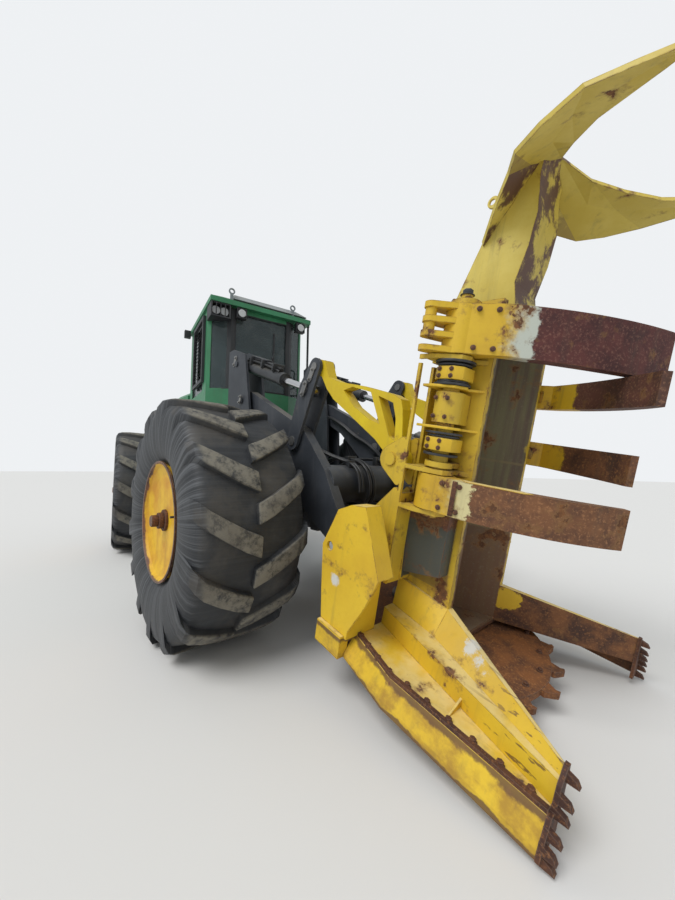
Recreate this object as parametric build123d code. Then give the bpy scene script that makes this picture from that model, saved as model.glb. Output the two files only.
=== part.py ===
from build123d import *
import math
import os

os.makedirs("parts", exist_ok=True)

# Frames. The machine frame has X forward, Y left and Z up, in mm, with its zero 900 under the front
# axle's middle. The row's zero is the middle of the whole machine's box on the ground.
row_x = -990.0
row_y = 167.0
wheelbase = 3300.0
hinge_x = -wheelbase / 2
steer_deg = -8.86
head_pitch = 11.0
head_x = 2335.0
head_z = 8.0

# Wheels
tyre_r = 900.0
tyre_w = 770.0
tyre_sides = 28
lugs = 14
lug_h = 52.0
bead_r = 408.0
rim_flange_r = 432.0
rim_w = 720.0
half_track = 1084.0
axle_z = 900.0
stub_r = 90.0
boss_out_r = 38.0
hub_r = 235.0
hub_inner = 215.0
run_gap = 0.1
beam_r = 135.0
ball_r = 200.0
nose_r = 70.0

# Boom linkage, as X and Z in the machine frame; both sides alike at Y = plus and minus boom_y
boom_y = 490.0
arm_pivot = (-485.0, 1968.0)
mast_pin = (-615.0, 2360.0)
lever_foot = (405.0, 1515.0)
lever_mid = (576.0, 1911.0)
lever_top = (690.0, 2065.0)
link_eye = (1439.0, 1363.0)
head_pivot = (link_eye[0] - lever_top[0] + lever_foot[0], link_eye[1] - lever_top[1] + lever_foot[1])
lift_base = (-640.0, 1120.0)
lift_eye = (430.0, 1200.0)
arm_t = 80.0
lever_t = 25.0
lever_gap = 100.0
mast_t = 25.0
mast_gap = 140.0
ear_t = 25.0
ear_gap = 90.0
pin_r = 38.0
tilt_pin_r = 30.0
tube_at = (700.0, 1175.0)
tube_r = 150.0
side_gap = 5.0

# Cylinders
tilt_barrel_r = 55.0
tilt_rod_r = 29.0
tilt_barrel_l = 838.0
tilt_in = 408.0
bore_start = 92.0
piston_r = 42.0
piston_l = 60.0
gland_l = 60.0
neck_l = 76.0
neck_r = 28.0
steer_pin_r = 24.0
lift_y = 337.0
lift_barrel_r = 50.0
lift_rod_r = 30.0
lift_barrel_l = 720.0
lift_in = 560.0
eye_t = 60.0
eye_r = 54.0
steer_z = axle_z - 10
steer_base = (hinge_x - 680.0, 330.0)
steer_eye = (hinge_x + 430.0, 400.0)
steer_barrel_r = 45.0
steer_rod_r = 25.0
steer_barrel_l = 680.0
steer_in_right = 260.0
steer_in_left = 370.0

# Frames and cab
frame_half = 280.0
rear_half = 230.0
plate = 25.0
frame_low = axle_z - 260
frame_back = hinge_x + 470
frame_front = 400.0
hinge_r = 48.0
frame_top = axle_z + 250
arch_z = axle_z + beam_r + 10
swing_arch_z = frame_top - 50
rear_axle_x = -wheelbase
rear_nose = hinge_x - 500
rear_end = rear_axle_x - 1150
bumper_half = 560.0
tow_x = rear_end - 200
tow_z = 900.0
tow_t = 60.0
tow_r = 32.0
cab_half = 600.0
roof_front = -920.0
roof_half = 625.0
roof_slope = 165.0
ring_z = 3322.0
ring_r = 21.0
ring_t = 14.0
cab_front = hinge_x + 490
cab_rear = hinge_x - 550
cab_floor = frame_top + 300
sill_z = 2200.0
cab_top = 3150.0
door_hinge_x = cab_rear + 150
top_rail = 45.0
hinge_out = 14.0
hinge_levels = (cab_floor + 250, sill_z + 100, cab_top - 210)
roof_t = 55.0
roof_rise = 85.0
wall = 40.0
bay_front = cab_front + 160
bay_half = 370.0
hood_front = cab_rear - 60
hood_rear = rear_axle_x - 1100
hood_half = 500.0
stack_at = (-2750.0, -350.0)
stack_top = 2900.0
glass_t = 12.0

# Felling head, in its own frame: A forward from the shoe tips, B left, H up its tower
trough_half = 300.0
trough_back = 150.0
trough_depth = 220.0
tower_front = -740.0
tower_rear = -1050.0
tower_half = 345.0
tower_top = 2080.0
neck_half = 150.0
wing_drop = (12.0, 0.0, -24.0)
head_plate = 20.0
truss_slot = (436.0, 544.0)
slot_a = -1012.0
post_a = -890.0
post_b = 450.0
post_r = 45.0
ear_reach = 560.0
knuckle_r = 112.0
knuckle_t = 25.0
disc_a = -940.0
disc_r = 640.0
tooth_r = 708.0
disc_h = 70.0
disc_t = 40.0
deck_h = 130.0
tip_b = 690.0
shoe_out = 790.0
skirt_b = 830.0
shoe_tip = -45.0
shoe_rear = -1080.0
iron_t = 16.0
tie_hole = (-1300.0, 600.0)
tie_hole_r = 28.0
tie_plate = 20.0
teeth = 18
spindle_r = 60.0
motor_a = -1200.0

# Arms of the head: name, side, lower and upper edge, tip (A, B), bow of the outer face, boss radius, crank
arm_rows = (
    ("right_upper_arm", -1, 1765.0, 2015.0, (-150.0, 300.0), 138.0, 92.0, 180.0),
    ("right_lower_arm", -1, 935.0, 1125.0, (-115.0, -70.0), 150.0, 98.0, 0.0),
    ("left_upper_arm", 1, 1600.0, 1755.0, (-84.0, -87.0), 150.0, 92.0, 0.0),
    ("left_lower_arm", 1, 1215.0, 1375.0, (-160.0, 140.0), 138.0, 92.0, 0.0),
)
arm_blade = 84.0
arm_root = 170.0
root_t = 62.0
crank_t = 30.0
crank_turn = 235.0
# Knuckle blocks round each post, from and to, between the arms' bands
knuckle_blocks = ((1165.0, 1195.0), (1405.0, 1570.0))
cap_h = 34.0


def frame_point(p, y):
    return Vector(p[0], y, p[1])


def slab_xz(points, y_low, y_high):
    face = Face(Wire.make_polygon([Vector(x, y_low, z) for x, z in points]))
    return Solid.extrude(face, Vector(0, y_high - y_low, 0))


def slab_xy(points, z_low, z_high):
    face = Face(Wire.make_polygon([Vector(x, y, z_low) for x, y in points]))
    return Solid.extrude(face, Vector(0, 0, z_high - z_low))


def block(x0, x1, y0, y1, z0, z1):
    return slab_xy(((x0, y0), (x1, y0), (x1, y1), (x0, y1)), z0, z1)


def bar(start, end, radius):
    start = Vector(start)
    way = Vector(end) - start
    return Solid.make_cylinder(radius, way.length, Plane(origin=start, z_dir=way))


def bar_y(p, y0, y1, radius):
    return bar(frame_point(p, y0), frame_point(p, y1), radius)


def hull_plate(discs, low, high):
    """Plate in XZ between two Y values; its outline is the hull of round ends (X, Z, radius)."""
    rings = [Location((x, z, 0)) * Edge.make_circle(r) for x, z, r in discs]
    face = make_hull(rings).face()
    solid = Solid.extrude(face, Vector(0, 0, high - low))
    return Plane(origin=(0, low, 0), x_dir=(1, 0, 0), z_dir=(0, -1, 0)) * solid.mirror(Plane.XY)


def lug_plate(near, far, low, high):
    """Flat plate between two Z values round two discs, each given as X, Y and radius."""
    rings = [Location((x, y, 0)) * Edge.make_circle(r) for x, y, r in (near, far)]
    return Solid.extrude(make_hull(rings).face(), Vector(0, 0, high - low)).moved(Location((0, 0, low)))


def folded_plate(rows, thickness):
    """Plate of flat facets between rows of points, as thick as the given vector."""
    pieces = []
    for near, far in zip(rows, rows[1:]):
        for i in range(len(near) - 1):
            for corners in ((near[i], near[i + 1], far[i + 1]), (near[i], far[i + 1], far[i])):
                face = Face(Wire.make_polygon(corners))
                pieces.append(Solid.extrude(face, thickness))
    return pieces


def spin_y(points):
    """Ring turned about the Y axis from a closed outline of (radius, y)."""
    face = Face(Wire.make_polygon([Vector(r, y, 0) for r, y in points]))
    return Solid.revolve(face, 360, Axis.Y)


def fuse(solids):
    if len(solids) == 1:
        return [solids[0]]
    return list(solids[0].fuse(*solids[1:]).solids())


def cut(solids, tools):
    kept = []
    for solid in solids:
        for tool in tools:
            solid = solid - tool
        kept.extend(solid.solids())
    return kept


def tyre():
    """Tyre as a many-sided ring with chevron lugs, each a ruled loft from shoulder to middle."""
    half = tyre_w / 2
    body_r = tyre_r - lug_h
    # stations across the tyre: Y, outer radius
    stations = (
        (-half + 75, bead_r), (-half + 4, rim_flange_r + 90), (-half + 4, body_r - 90), (-half + 50, body_r),
        (half - 50, body_r), (half - 4, body_r - 90), (half - 4, rim_flange_r + 90), (half - 75, bead_r),
    )

    def ring(r, y):
        turn = 2 * math.pi / tyre_sides
        return Wire.make_polygon([Vector(r * math.cos(i * turn), y, r * math.sin(i * turn)) for i in range(tyre_sides)])

    outer = Solid.make_loft([ring(r, y) for y, r in stations], True)
    inner_r = (bead_r + 0.3) / math.cos(math.pi / tyre_sides)
    hole = Solid.make_loft([ring(inner_r, -half), ring(inner_r, half)], True)
    # lug sections: distance from the middle, turn in degrees, root radius, top radius, width
    sections = (
        (half, 0.0, body_r - 130, tyre_r - 12, 112.0), (half * 0.5, 8.5, body_r - 16, tyre_r, 118.0),
        (10.0, 18.0, body_r - 16, tyre_r, 126.0),
    )
    pieces = []
    for side in (-1, 1):
        for i in range(lugs):
            start = 360.0 / lugs * (i + (0.5 if side > 0 else 0.0))
            rings = []
            for y, turn, r_low, r_high, width in sections:
                points = []
                for r, way in ((r_low, -0.6), (r_high, -0.5), (r_high, 0.5), (r_low, 0.6)):
                    angle = math.radians(start + turn) + way * width / tyre_r
                    points.append(Vector(r * math.cos(angle), side * y, r * math.sin(angle)))
                rings.append(Wire.make_polygon(points))
            pieces.append(Solid.make_loft(rings, True))
    return fuse(cut([outer], [hole]) + pieces)


def rim():
    """Rim with its dished cover on the +Y side and the hub that runs on the axle's stub."""
    half = rim_w / 2
    seat = bead_r
    points = (
        (bead_r - 14, -half + 40), (rim_flange_r - 14, -half), (rim_flange_r, -half), (rim_flange_r, -half + 14),
        (seat, -half + 26), (seat, half - 26), (rim_flange_r, half - 14),
        (rim_flange_r, half), (rim_flange_r - 14, half), (bead_r - 14, half - 30),
        (330.0, half - 50), (boss_out_r + 22, half - 62), (boss_out_r, half - 55),
        (boss_out_r, half + 38), (0.0, half + 38), (0.0, half - 150), (stub_r + run_gap, half - 150),
        (stub_r + run_gap, -hub_inner), (hub_r, -hub_inner), (hub_r, half - 90), (bead_r - 34, half - 60),
        (bead_r - 30, -half + 45),
    )
    return [spin_y(points)]


def axle(nose_front, nose_rear, pad_z):
    """Axle with its middle casing, the flanges and stubs for the wheels, and a nose fore and aft."""
    beam_end = half_track - hub_inner - 6
    stub_end = half_track + rim_w / 2 - 154
    half = (
        (ball_r, 0.0), (ball_r - 20, 90.0), (beam_r, 190.0), (beam_r, beam_end - 90), (190.0, beam_end - 70),
        (190.0, beam_end), (stub_r, beam_end), (stub_r, stub_end), (0.0, stub_end),
    )
    outline = half + tuple((r, -y) for r, y in half[::-1] if y > 0)
    body = spin_y(outline).moved(Location((0, 0, axle_z)))
    pieces = [body, bar((nose_rear, 0, axle_z), (nose_front, 0, axle_z), nose_r)]
    for side in (-1, 1):
        low, high = sorted((side * 160, side * frame_half))
        if pad_z > 0:
            pieces.append(block(-110, 110, low, high, axle_z + 60, pad_z))
    return fuse(pieces)


def side_pair(low, high):
    """The two Y ranges, right and left, of a piece between two distances from the middle."""
    return ((-high, -low), (low, high))


def hinge_ear(root_x, tip_x, root_half):
    """Outline of a hinge ear that narrows round the articulation pin."""
    way = 1 if tip_x < root_x else -1
    neck = hinge_x + way * 60
    return ((root_x, -root_half), (root_x, root_half), (neck, 130), (tip_x, 80), (tip_x, -80), (neck, -130))


def front_frame():
    mast = ((-820, 1000), (-300, 1000), (-323, 1857), (-441, 2425), (-700, 2530), (-810, 2526))
    side_plate = (
        (frame_back, frame_low), (-340, frame_low), (-240, arch_z), (240, arch_z), (300, 760),
        (frame_front, 760), (frame_front, frame_top), (frame_back, frame_top),
    )
    pieces = []
    for low, high in side_pair(frame_half - plate, frame_half):
        pieces.append(slab_xz(side_plate, low, high))
    pieces += [
        block(frame_back, frame_front, -frame_half, frame_half, frame_top - plate, frame_top),
        block(frame_back, -360, -frame_half, frame_half, frame_low, frame_low + plate),
        block(frame_front - plate, frame_front, -frame_half, frame_half, 760, frame_top),
        block(frame_back, frame_back + plate, -frame_half, frame_half, frame_low, frame_top),
    ]
    for z_low in (700.0, 1035.0):
        pieces.append(slab_xy(hinge_ear(frame_back, hinge_x - 90, 240), z_low, z_low + 45))
    inner = boom_y - mast_gap / 2
    outer = boom_y + mast_gap / 2
    for low, high in side_pair(inner - mast_t, inner) + side_pair(outer, outer + mast_t):
        pieces.append(slab_xz(mast, low, high))
    for low, high in side_pair(frame_half, outer + mast_t):
        pieces.append(block(-820, -300, low, high, 1000, 1040))
    for low, high in side_pair(inner - mast_t, outer + mast_t):
        pieces.append(block(-820, -800, low, high, 1040, 1900))
    pieces.append(block(-820, -800, mast_t - inner, inner - mast_t, frame_top, 1500))
    for low, high in side_pair(inner - mast_t - 12, outer + mast_t + 14):
        pieces.append(bar_y(arm_pivot, low, high, pin_r))
        pieces.append(bar_y(mast_pin, low, high, tilt_pin_r))
    for low, high in side_pair(frame_half - plate, inner):
        pieces.append(bar_y(lift_base, low, high, pin_r))
    for z_low in (steer_z - eye_t / 2 - side_gap - plate, steer_z + eye_t / 2 + side_gap):
        for low, high in side_pair(frame_half - plate, steer_eye[1] + 62):
            pieces.append(block(steer_eye[0] - 75, steer_eye[0] + 150, low, high, z_low, z_low + plate))
    bores = [bar((hinge_x, 0, 600), (hinge_x, 0, 1200), hinge_r + run_gap)]
    return cut(fuse(pieces), bores)


def lift_arms():
    outline = (
        (-406, 2050), (357, 1684), (511, 1606), (789, 1286), (962, 966), (1130, 905),
        (1120, 730), (820, 800), (560, 960), (420, 1150), (240, 1330), (60, 1500), (-140, 1680), (-520, 1890),
    )
    pieces = [bar_y(tube_at, -boom_y, boom_y, tube_r)]
    for low, high in side_pair(boom_y - arm_t / 2, boom_y + arm_t / 2):
        pieces.append(slab_xz(outline, low, high))
        pieces.append(bar_y(arm_pivot, low, high, 92.0))
        pieces.append(bar_y(head_pivot, low, high, 98.0))
        pieces.append(bar_y(lift_eye, low, high, 90.0))
    for low, high in side_pair(lift_y + eye_t / 2 + side_gap, boom_y - arm_t / 2):
        pieces.append(bar_y(lift_eye, low, high, 62.0))
    ear = ((lift_eye[0], lift_eye[1], 58.0), (tube_at[0] - 60, tube_at[1], 90.0))
    for low, high in side_pair(frame_half + side_gap, lift_y - eye_t / 2 - side_gap):
        pieces.append(hull_plate(ear, low, high))
    bores = [bar_y(p, -700, 700, pin_r + run_gap) for p in (arm_pivot, head_pivot, lever_foot)]
    return cut(fuse(pieces), bores)


def pins_on(point, half_width, radius):
    """A round pin on each side of the boom."""
    return [bar_y(point, low, high, radius) for low, high in side_pair(boom_y - half_width, boom_y + half_width)]


def tilt_levers():
    half = lever_gap / 2
    discs = ((*lever_foot, 72.0), (*lever_mid, 84.0), (*lever_top, 66.0))
    plates = []
    for low, high in side_pair(boom_y - half - lever_t, boom_y - half) + side_pair(boom_y + half, boom_y + half + lever_t):
        plates.append(hull_plate(discs, low, high))
    for low, high in side_pair(boom_y - half - lever_t - 10, boom_y - half - lever_t):
        plates.append(bar_y(lever_mid, low, high, 34.0))
    for low, high in side_pair(boom_y + half + lever_t, boom_y + half + lever_t + 12):
        plates.append(bar_y(lever_mid, low, high, 34.0))
    bores = [bar_y(lever_foot, -700, 700, pin_r + run_gap), bar_y(lever_top, -700, 700, tilt_pin_r + run_gap)]
    return cut(fuse(plates), bores)


def truss_links():
    outline = (
        (640, 2050), (700, 2120), (776, 2100), (822, 1965), (948, 1907), (1194, 1836), (1428, 1750), (1488, 1712),
        (1500, 1650), (1498, 1440), (1490, 1320), (1400, 1310), (1366, 1400), (1286, 1484), (875, 1795), (800, 1880), (735, 1990),
    )
    windows = (
        ((985, 1842), (1075, 1852), (1245, 1790), (1318, 1580), (1232, 1618), (1090, 1718)),
        ((1312, 1756), (1428, 1698), (1448, 1600), (1440, 1470), (1398, 1500)),
    )
    links = []
    for side in (-1, 1):
        low, high = sorted((side * (boom_y - arm_t / 2), side * (boom_y + arm_t / 2)))
        body = slab_xz(outline, low, high) + bar_y(lever_top, low, high, 62.0) + bar_y(link_eye, low, high, 72.0)
        for window in windows:
            body = body - slab_xz(window, low - 5, high + 5)
        body = body - bar_y(lever_top, low - 5, high + 5, tilt_pin_r + run_gap)
        body = body - bar_y(link_eye, low - 5, high + 5, pin_r + run_gap)
        links.extend(body.solids())
    return links


def barrel(base, tip, pin_axis, length, radius, rod_radius, bore_r, chamber_r=0.0):
    """Cylinder barrel from its pinned eye at base towards tip, with a blind bore for its rod."""
    base = Vector(base)
    way = (Vector(tip) - base).normalized()
    half_eye = Vector(pin_axis) * (eye_t / 2)
    body = bar(base + way * neck_l, base + way * length, radius)
    gland = bar(base + way * (length - gland_l), base + way * length, radius + 7)
    body = body.fuse(gland, bar(base, base + way * (neck_l + 5), neck_r), bar(base - half_eye, base + half_eye, eye_r))
    tools = [bar(base + way * bore_start, base + way * (length + 5), rod_radius + run_gap)]
    if chamber_r > 0:
        tools.append(bar(base + way * bore_start, base + way * (length - gland_l), chamber_r))
    return cut([body], tools + [bar(base - half_eye * 2, base + half_eye * 2, bore_r + run_gap)])


def rod(base, tip, pin_axis, length, radius, inside):
    """Cylinder rod with its eye at tip; it goes back the given way inside the barrel."""
    base = Vector(base)
    tip = Vector(tip)
    way = (tip - base).normalized()
    half_eye = Vector(pin_axis) * (eye_t / 2)
    return fuse([bar(base + way * (length - inside), tip, radius), bar(tip - half_eye, tip + half_eye, eye_r - 4)])


def tilt_cylinders():
    """Barrels, rods and the pistons on them of the two tilt cylinders."""
    barrels = []
    rods = []
    pistons = []
    for y in (-boom_y, boom_y):
        base = frame_point(mast_pin, y)
        tip = frame_point(lever_mid, y)
        ends = (base, tip, (0, 1, 0), tilt_barrel_l)
        barrels += barrel(*ends, tilt_barrel_r, tilt_rod_r, tilt_pin_r, piston_r)
        rods += rod(*ends, tilt_rod_r, tilt_in)
        way = (tip - base).normalized()
        near = base + way * (tilt_barrel_l - gland_l - piston_l - 30)
        ring = bar(near, near + way * piston_l, piston_r - run_gap)
        pistons += cut([ring], [bar(near - way, near + way * (piston_l + 1), tilt_rod_r + run_gap)])
    return barrels, rods, pistons


def lift_cylinders():
    barrels = []
    rods = []
    for y in (-lift_y, lift_y):
        ends = (frame_point(lift_base, y), frame_point(lift_eye, y), (0, 1, 0), lift_barrel_l)
        barrels += barrel(*ends, lift_barrel_r, lift_rod_r, pin_r)
        rods += rod(*ends, lift_rod_r, lift_in)
    return barrels, rods


def to_head(x, z):
    """A point of the machine frame as A and H of the head's frame."""
    c = math.cos(math.radians(head_pitch))
    s = math.sin(math.radians(head_pitch))
    dx = x - head_x
    dz = z - head_z
    return dx * c - dz * s, dx * s + dz * c


def tower():
    t = head_plate
    trough = (
        (tower_front, trough_half), (tower_front - trough_depth, trough_back),
        (tower_front - trough_depth, -trough_back), (tower_front, -trough_half),
        (tower_front, -trough_half - t), (tower_front - trough_depth - t, -trough_back - t / 2),
        (tower_front - trough_depth - t, trough_back + t / 2), (tower_front, trough_half + t),
    )
    pieces = [
        slab_xy(trough, deck_h, tower_top),
        block(tower_rear, tower_front, -tower_half, tower_half, deck_h, deck_h + t),
        block(tower_rear, tower_rear + t, -tower_half, tower_half, deck_h, tower_top),
        block(tower_rear - 150, tower_rear, -130, 130, 1250, tower_top),
        block(tower_rear - 150, tower_front, -neck_half, neck_half, tower_top - t, tower_top),
    ]
    for low, high in side_pair(trough_half, tower_half):
        pieces.append(block(tower_front - 40, tower_front, low, high, deck_h, tower_top))
    for low, high in side_pair(tower_half - t, tower_half):
        pieces.append(block(tower_rear, tower_front, low, high, deck_h, tower_top))
    for low, high in side_pair(tower_half, truss_slot[0]) + side_pair(truss_slot[1], ear_reach):
        pieces.append(block(tower_rear, tower_rear + t, low, high, 440, 1712))
    for low, high in side_pair(truss_slot[0], truss_slot[1]):
        pieces.append(block(tower_rear, tower_rear + t, low, high, 440, 980))
    for side, rows in ((-1, arm_rows[0:2]), (1, arm_rows[2:4])):
        top = max(row[3] for row in rows)
        for row in rows:
            for h0 in (row[2] - side_gap - knuckle_t, row[3] + side_gap):
                if row[3] + side_gap == h0 and row[3] == top:
                    pieces.append(knuckle_cap(side, h0))
                else:
                    pieces.append(knuckle_plate(side, h0))
        low = min(row[2] for row in rows) - side_gap - knuckle_t - 20
        pieces.append(bar((post_a, side * post_b, low), (post_a, side * post_b, top + side_gap + knuckle_t), post_r))
        cap_low = top + side_gap + knuckle_t
        pieces.append(bar((post_a, side * post_b, cap_low), (post_a, side * post_b, cap_low + cap_h), 30.0))
        for low, high in knuckle_blocks:
            if all(high + side_gap < row[2] or low - side_gap > row[3] for row in rows):
                b_low, b_high = sorted((side * (tower_half - t), side * (post_b + 30)))
                pieces.append(block(post_a - 62, post_a + 62, b_low, b_high, low, high))
                pieces.append(bar((post_a, side * post_b, low), (post_a, side * post_b, high), 76.0))
        box = ((-1208, 703), (-1172, 461), (tower_front - 40, 563), (tower_front - 40, 930), (-1120, 846))
        low, high = sorted((side * (tower_half - t), side * (tower_half + 85)))
        pieces.append(slab_xz(box, low, high))
    eye = to_head(*link_eye)
    foot = to_head(*head_pivot)
    inner = boom_y - ear_gap / 2
    outer = boom_y + ear_gap / 2
    for low, high in side_pair(inner - ear_t, inner) + side_pair(outer, outer + ear_t):
        discs = ((eye[0], eye[1], 82.0), (tower_rear - 20, eye[1] + 120, 20.0), (tower_rear - 20, eye[1] - 120, 20.0))
        pieces.append(hull_plate(discs, low, high))
        discs = ((foot[0], foot[1], 105.0), (tower_rear - 20, foot[1] + 420, 20.0), (tower_rear + 10, foot[1] - 100, 20.0))
        pieces.append(hull_plate(discs, low, high))
    for low, high in side_pair(inner - ear_t - 8, outer + ear_t + 12):
        pieces.append(bar((eye[0], low, eye[1]), (eye[0], high, eye[1]), pin_r))
    bores = [bar((foot[0], -700, foot[1]), (foot[0], 700, foot[1]), pin_r + run_gap)]
    return cut(fuse(pieces), bores)


def knuckle_plate(side, low):
    """Wide plate from the tower round a post, notched where the truss link passes."""
    ear = (
        (tower_rear, side * 300), (tower_rear, side * truss_slot[0]), (slot_a, side * truss_slot[0]),
        (slot_a, side * truss_slot[1]), (tower_rear, side * truss_slot[1]),
        (tower_rear, side * ear_reach), (post_a - 60, side * ear_reach),
        (post_a + 70, side * (post_b + 60)), (post_a + 90, side * post_b),
        (post_a + 60, side * (post_b - 80)), (tower_front - 10, side * (tower_half - 5)),
        (tower_front - 10, side * 300),
    )
    return slab_xy(ear if side < 0 else ear[::-1], low, low + knuckle_t)


def knuckle_cap(side, low):
    """Small top plate that holds the post's upper end to the tower's wall."""
    return lug_plate((post_a, side * post_b, 74.0), (post_a - 10, side * (tower_half - 20), 66.0), low, low + knuckle_t)


def crown():
    """Neck above the tower and its forked guide, two folded wings that catch the stems."""
    side_view = (
        (-1200, tower_top), (-765, tower_top), (-800, 2240), (-762, 2420), (-745, 2600), (-768, 2800),
        (-760, 2940), (-1040, 2510),
    )
    pieces = [slab_xz(side_view, -neck_half, neck_half)]
    # each station of a wing: inner edge, fold and outer edge as A, B, H
    stations = (
        ((-1040, 0, 2512), (-1040, 80, 2512), (-1040, 160, 2512)),
        ((-880, 0, 2760), (-915, 130, 2705), (-945, 255, 2650)),
        ((-750, 0, 2965), (-815, 200, 2850), (-850, 345, 2735)),
        ((-631, 176, 2887), (-680, 300, 2842), (-763, 472, 2726)),
        ((-495, 312, 2846), (-560, 420, 2826), (-631, 541, 2742)),
        ((-345, 416, 2803), (-400, 470, 2802), (-461, 590, 2767)),
        ((-245, 466, 2792), (-262, 505, 2790), (-290, 568, 2768)),
        ((-180, 505, 2782), (-185, 530, 2781), (-195, 552, 2768)),
    )
    for side in (-1, 1):
        pieces += folded_plate([[Vector(a, side * b, h) for a, b, h in row] for row in stations], Vector(*wing_drop))
        eye = bar((-962, side * 230, 2672), (-962, side * 244, 2672), 32.0)
        pieces += cut([eye], [bar((-966, side * 220, 2674), (-966, side * 250, 2674), 17.0)])
    return fuse(pieces)


def shoe(side):
    """Butt plate shoe: lofted deck with its inner wall, floor, step and outer skirt."""
    def section(a, rows):
        return Wire.make_polygon([Vector(a, side * b, h) for b, h in rows])

    def across(low, high):
        return sorted((side * low, side * high))

    rear = (
        (tower_half, deck_h), (tower_half, 430), (tower_half + 25, 430), (tower_half + 50, 255), (470, 250), (476, 150),
        (shoe_out - 90, 150), (skirt_b - 60, 50), (skirt_b - 60, 30), (skirt_b - 80, 30), (shoe_out - 85, deck_h),
    )
    outside = (
        (450, 255), (560, 250), (566, 150), (shoe_out, 150), (skirt_b, 50), (skirt_b, 12), (skirt_b - 20, 12),
        (shoe_out + 5, deck_h),
    )
    root = ((tower_half, deck_h), (tower_half, 380), (tower_half + 5, 380)) + outside
    mid = ((trough_half, deck_h), (trough_half, 380), (tower_half, 380)) + outside
    tip = (
        (tip_b, deck_h), (tip_b, 285), (tip_b + 15, 285), (tip_b + 28, 250), (tip_b + 45, 245), (tip_b + 50, 150),
        (shoe_out, 150), (skirt_b, 50), (skirt_b, 12), (skirt_b - 20, 12), (shoe_out + 5, deck_h),
    )
    pieces = [Solid.make_loft([section(tower_front, mid), section(shoe_tip, tip)], True)]
    pieces.append(Solid.make_loft([section(shoe_rear, rear), section(tower_front, root)], True))
    column = ((-1288, 150), (-1323, 330), (-1366, 590), (-1270, 830), (-1170, 885), (-1060, 905), (-900, 560), (-960, 400), (shoe_rear, 150))
    box = ((-1250, 560), (-1250, 830), (-1170, 885), (-1060, 905), (-900, 560))
    for outline, b_in in ((column, shoe_out - tie_plate), (box, shoe_out - 120)):
        pieces.append(slab_xz(outline, *across(b_in, shoe_out)))
    pieces.append(block(shoe_rear, shoe_rear + 20, *across(565, shoe_out), 140, 560))
    pieces.append(block(-1288, shoe_rear, *across(750, 815), 30, 160))
    rib = ((-520, 148), (-520, 246), (-505, 246), (-430, 148))
    pieces.append(slab_xz(rib, *across(585, 600)))
    hole = bar((tie_hole[0], side * (shoe_out - 200), tie_hole[1]), (tie_hole[0], side * (shoe_out + 50), tie_hole[1]), tie_hole_r)
    return cut(fuse(pieces), [hole])


def shoe_irons(side):
    """Toothed end plate of a shoe and the wear bars along its deck's outer edge."""
    plate_outline = (
        (tip_b - 6, 30), (tip_b - 6, 292), (tip_b + 22, 292), (tip_b + 62, 240), (tip_b + 70, 158),
        (shoe_out + 8, 158), (skirt_b + 6, 52), (skirt_b + 6, 14), (skirt_b - 30, 14),
    )
    face = Face(Wire.make_polygon([Vector(shoe_tip, side * b, h) for b, h in plate_outline]))
    pieces = [Solid.extrude(face, Vector(iron_t, 0, 0))]
    edge = ((tip_b + 30, 262), (tip_b + 66, 200), (shoe_out - 20, 158), (skirt_b - 18, 108), (skirt_b + 2, 64), (skirt_b - 6, 20))
    for b, h in edge:
        outline = ((shoe_tip, h - 20), (shoe_tip + iron_t + 42, h - 13), (shoe_tip + iron_t + 30, h + 6), (shoe_tip, h + 20))
        low, high = sorted((side * (b - 24), side * b))
        pieces.append(slab_xz(outline, low, high))
    rail = ((shoe_rear + 20, shoe_out - 88), (tower_front, shoe_out), (shoe_tip, shoe_out))
    for (a0, b0), (a1, b1) in zip(rail, rail[1:]):
        corners = ((a0, side * (b0 - 26)), (a1, side * (b1 - 26)), (a1, side * (b1 - 2)), (a0, side * (b0 - 2)))
        pieces.append(slab_xy(corners if side > 0 else corners[::-1], 150, 166))
    return fuse(pieces)


def saw_deck():
    """Saw housing: plate over the disc with its spindle, rim wall and the skid under the disc."""
    t = head_plate
    wall_r = tooth_r + 27
    full = Solid.make_cylinder(wall_r + 15, deck_h - 12, Plane(origin=(disc_a, 0, 12)))
    hollow = Solid.make_cylinder(wall_r, deck_h - 12 - 2 * t + 2, Plane(origin=(disc_a, 0, 12 + t - 2)))
    rear = block(-1800, -1085, -760, 760, 0, 200)
    middle = block(-1085, tower_front, -690, 690, deck_h - t, deck_h)
    low_plate = block(-1085, disc_a, -690, 690, 12, 10 + t)
    shell = ((full - hollow) & rear).solids()
    plates = (full & middle).solids() + (full & low_plate).solids()
    spindle = bar((disc_a, 0, disc_h - disc_t / 2 + 6), (disc_a, 0, deck_h - t), spindle_r)
    return fuse([*shell, *plates, spindle])


def saw_motor():
    """Hydraulic motor behind the tower that drives the disc through the deck."""
    at = (motor_a, 0)
    return fuse([bar((*at, deck_h), (*at, deck_h + 22), 148.0), bar((*at, deck_h), (*at, deck_h + 210), 92.0)])


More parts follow.
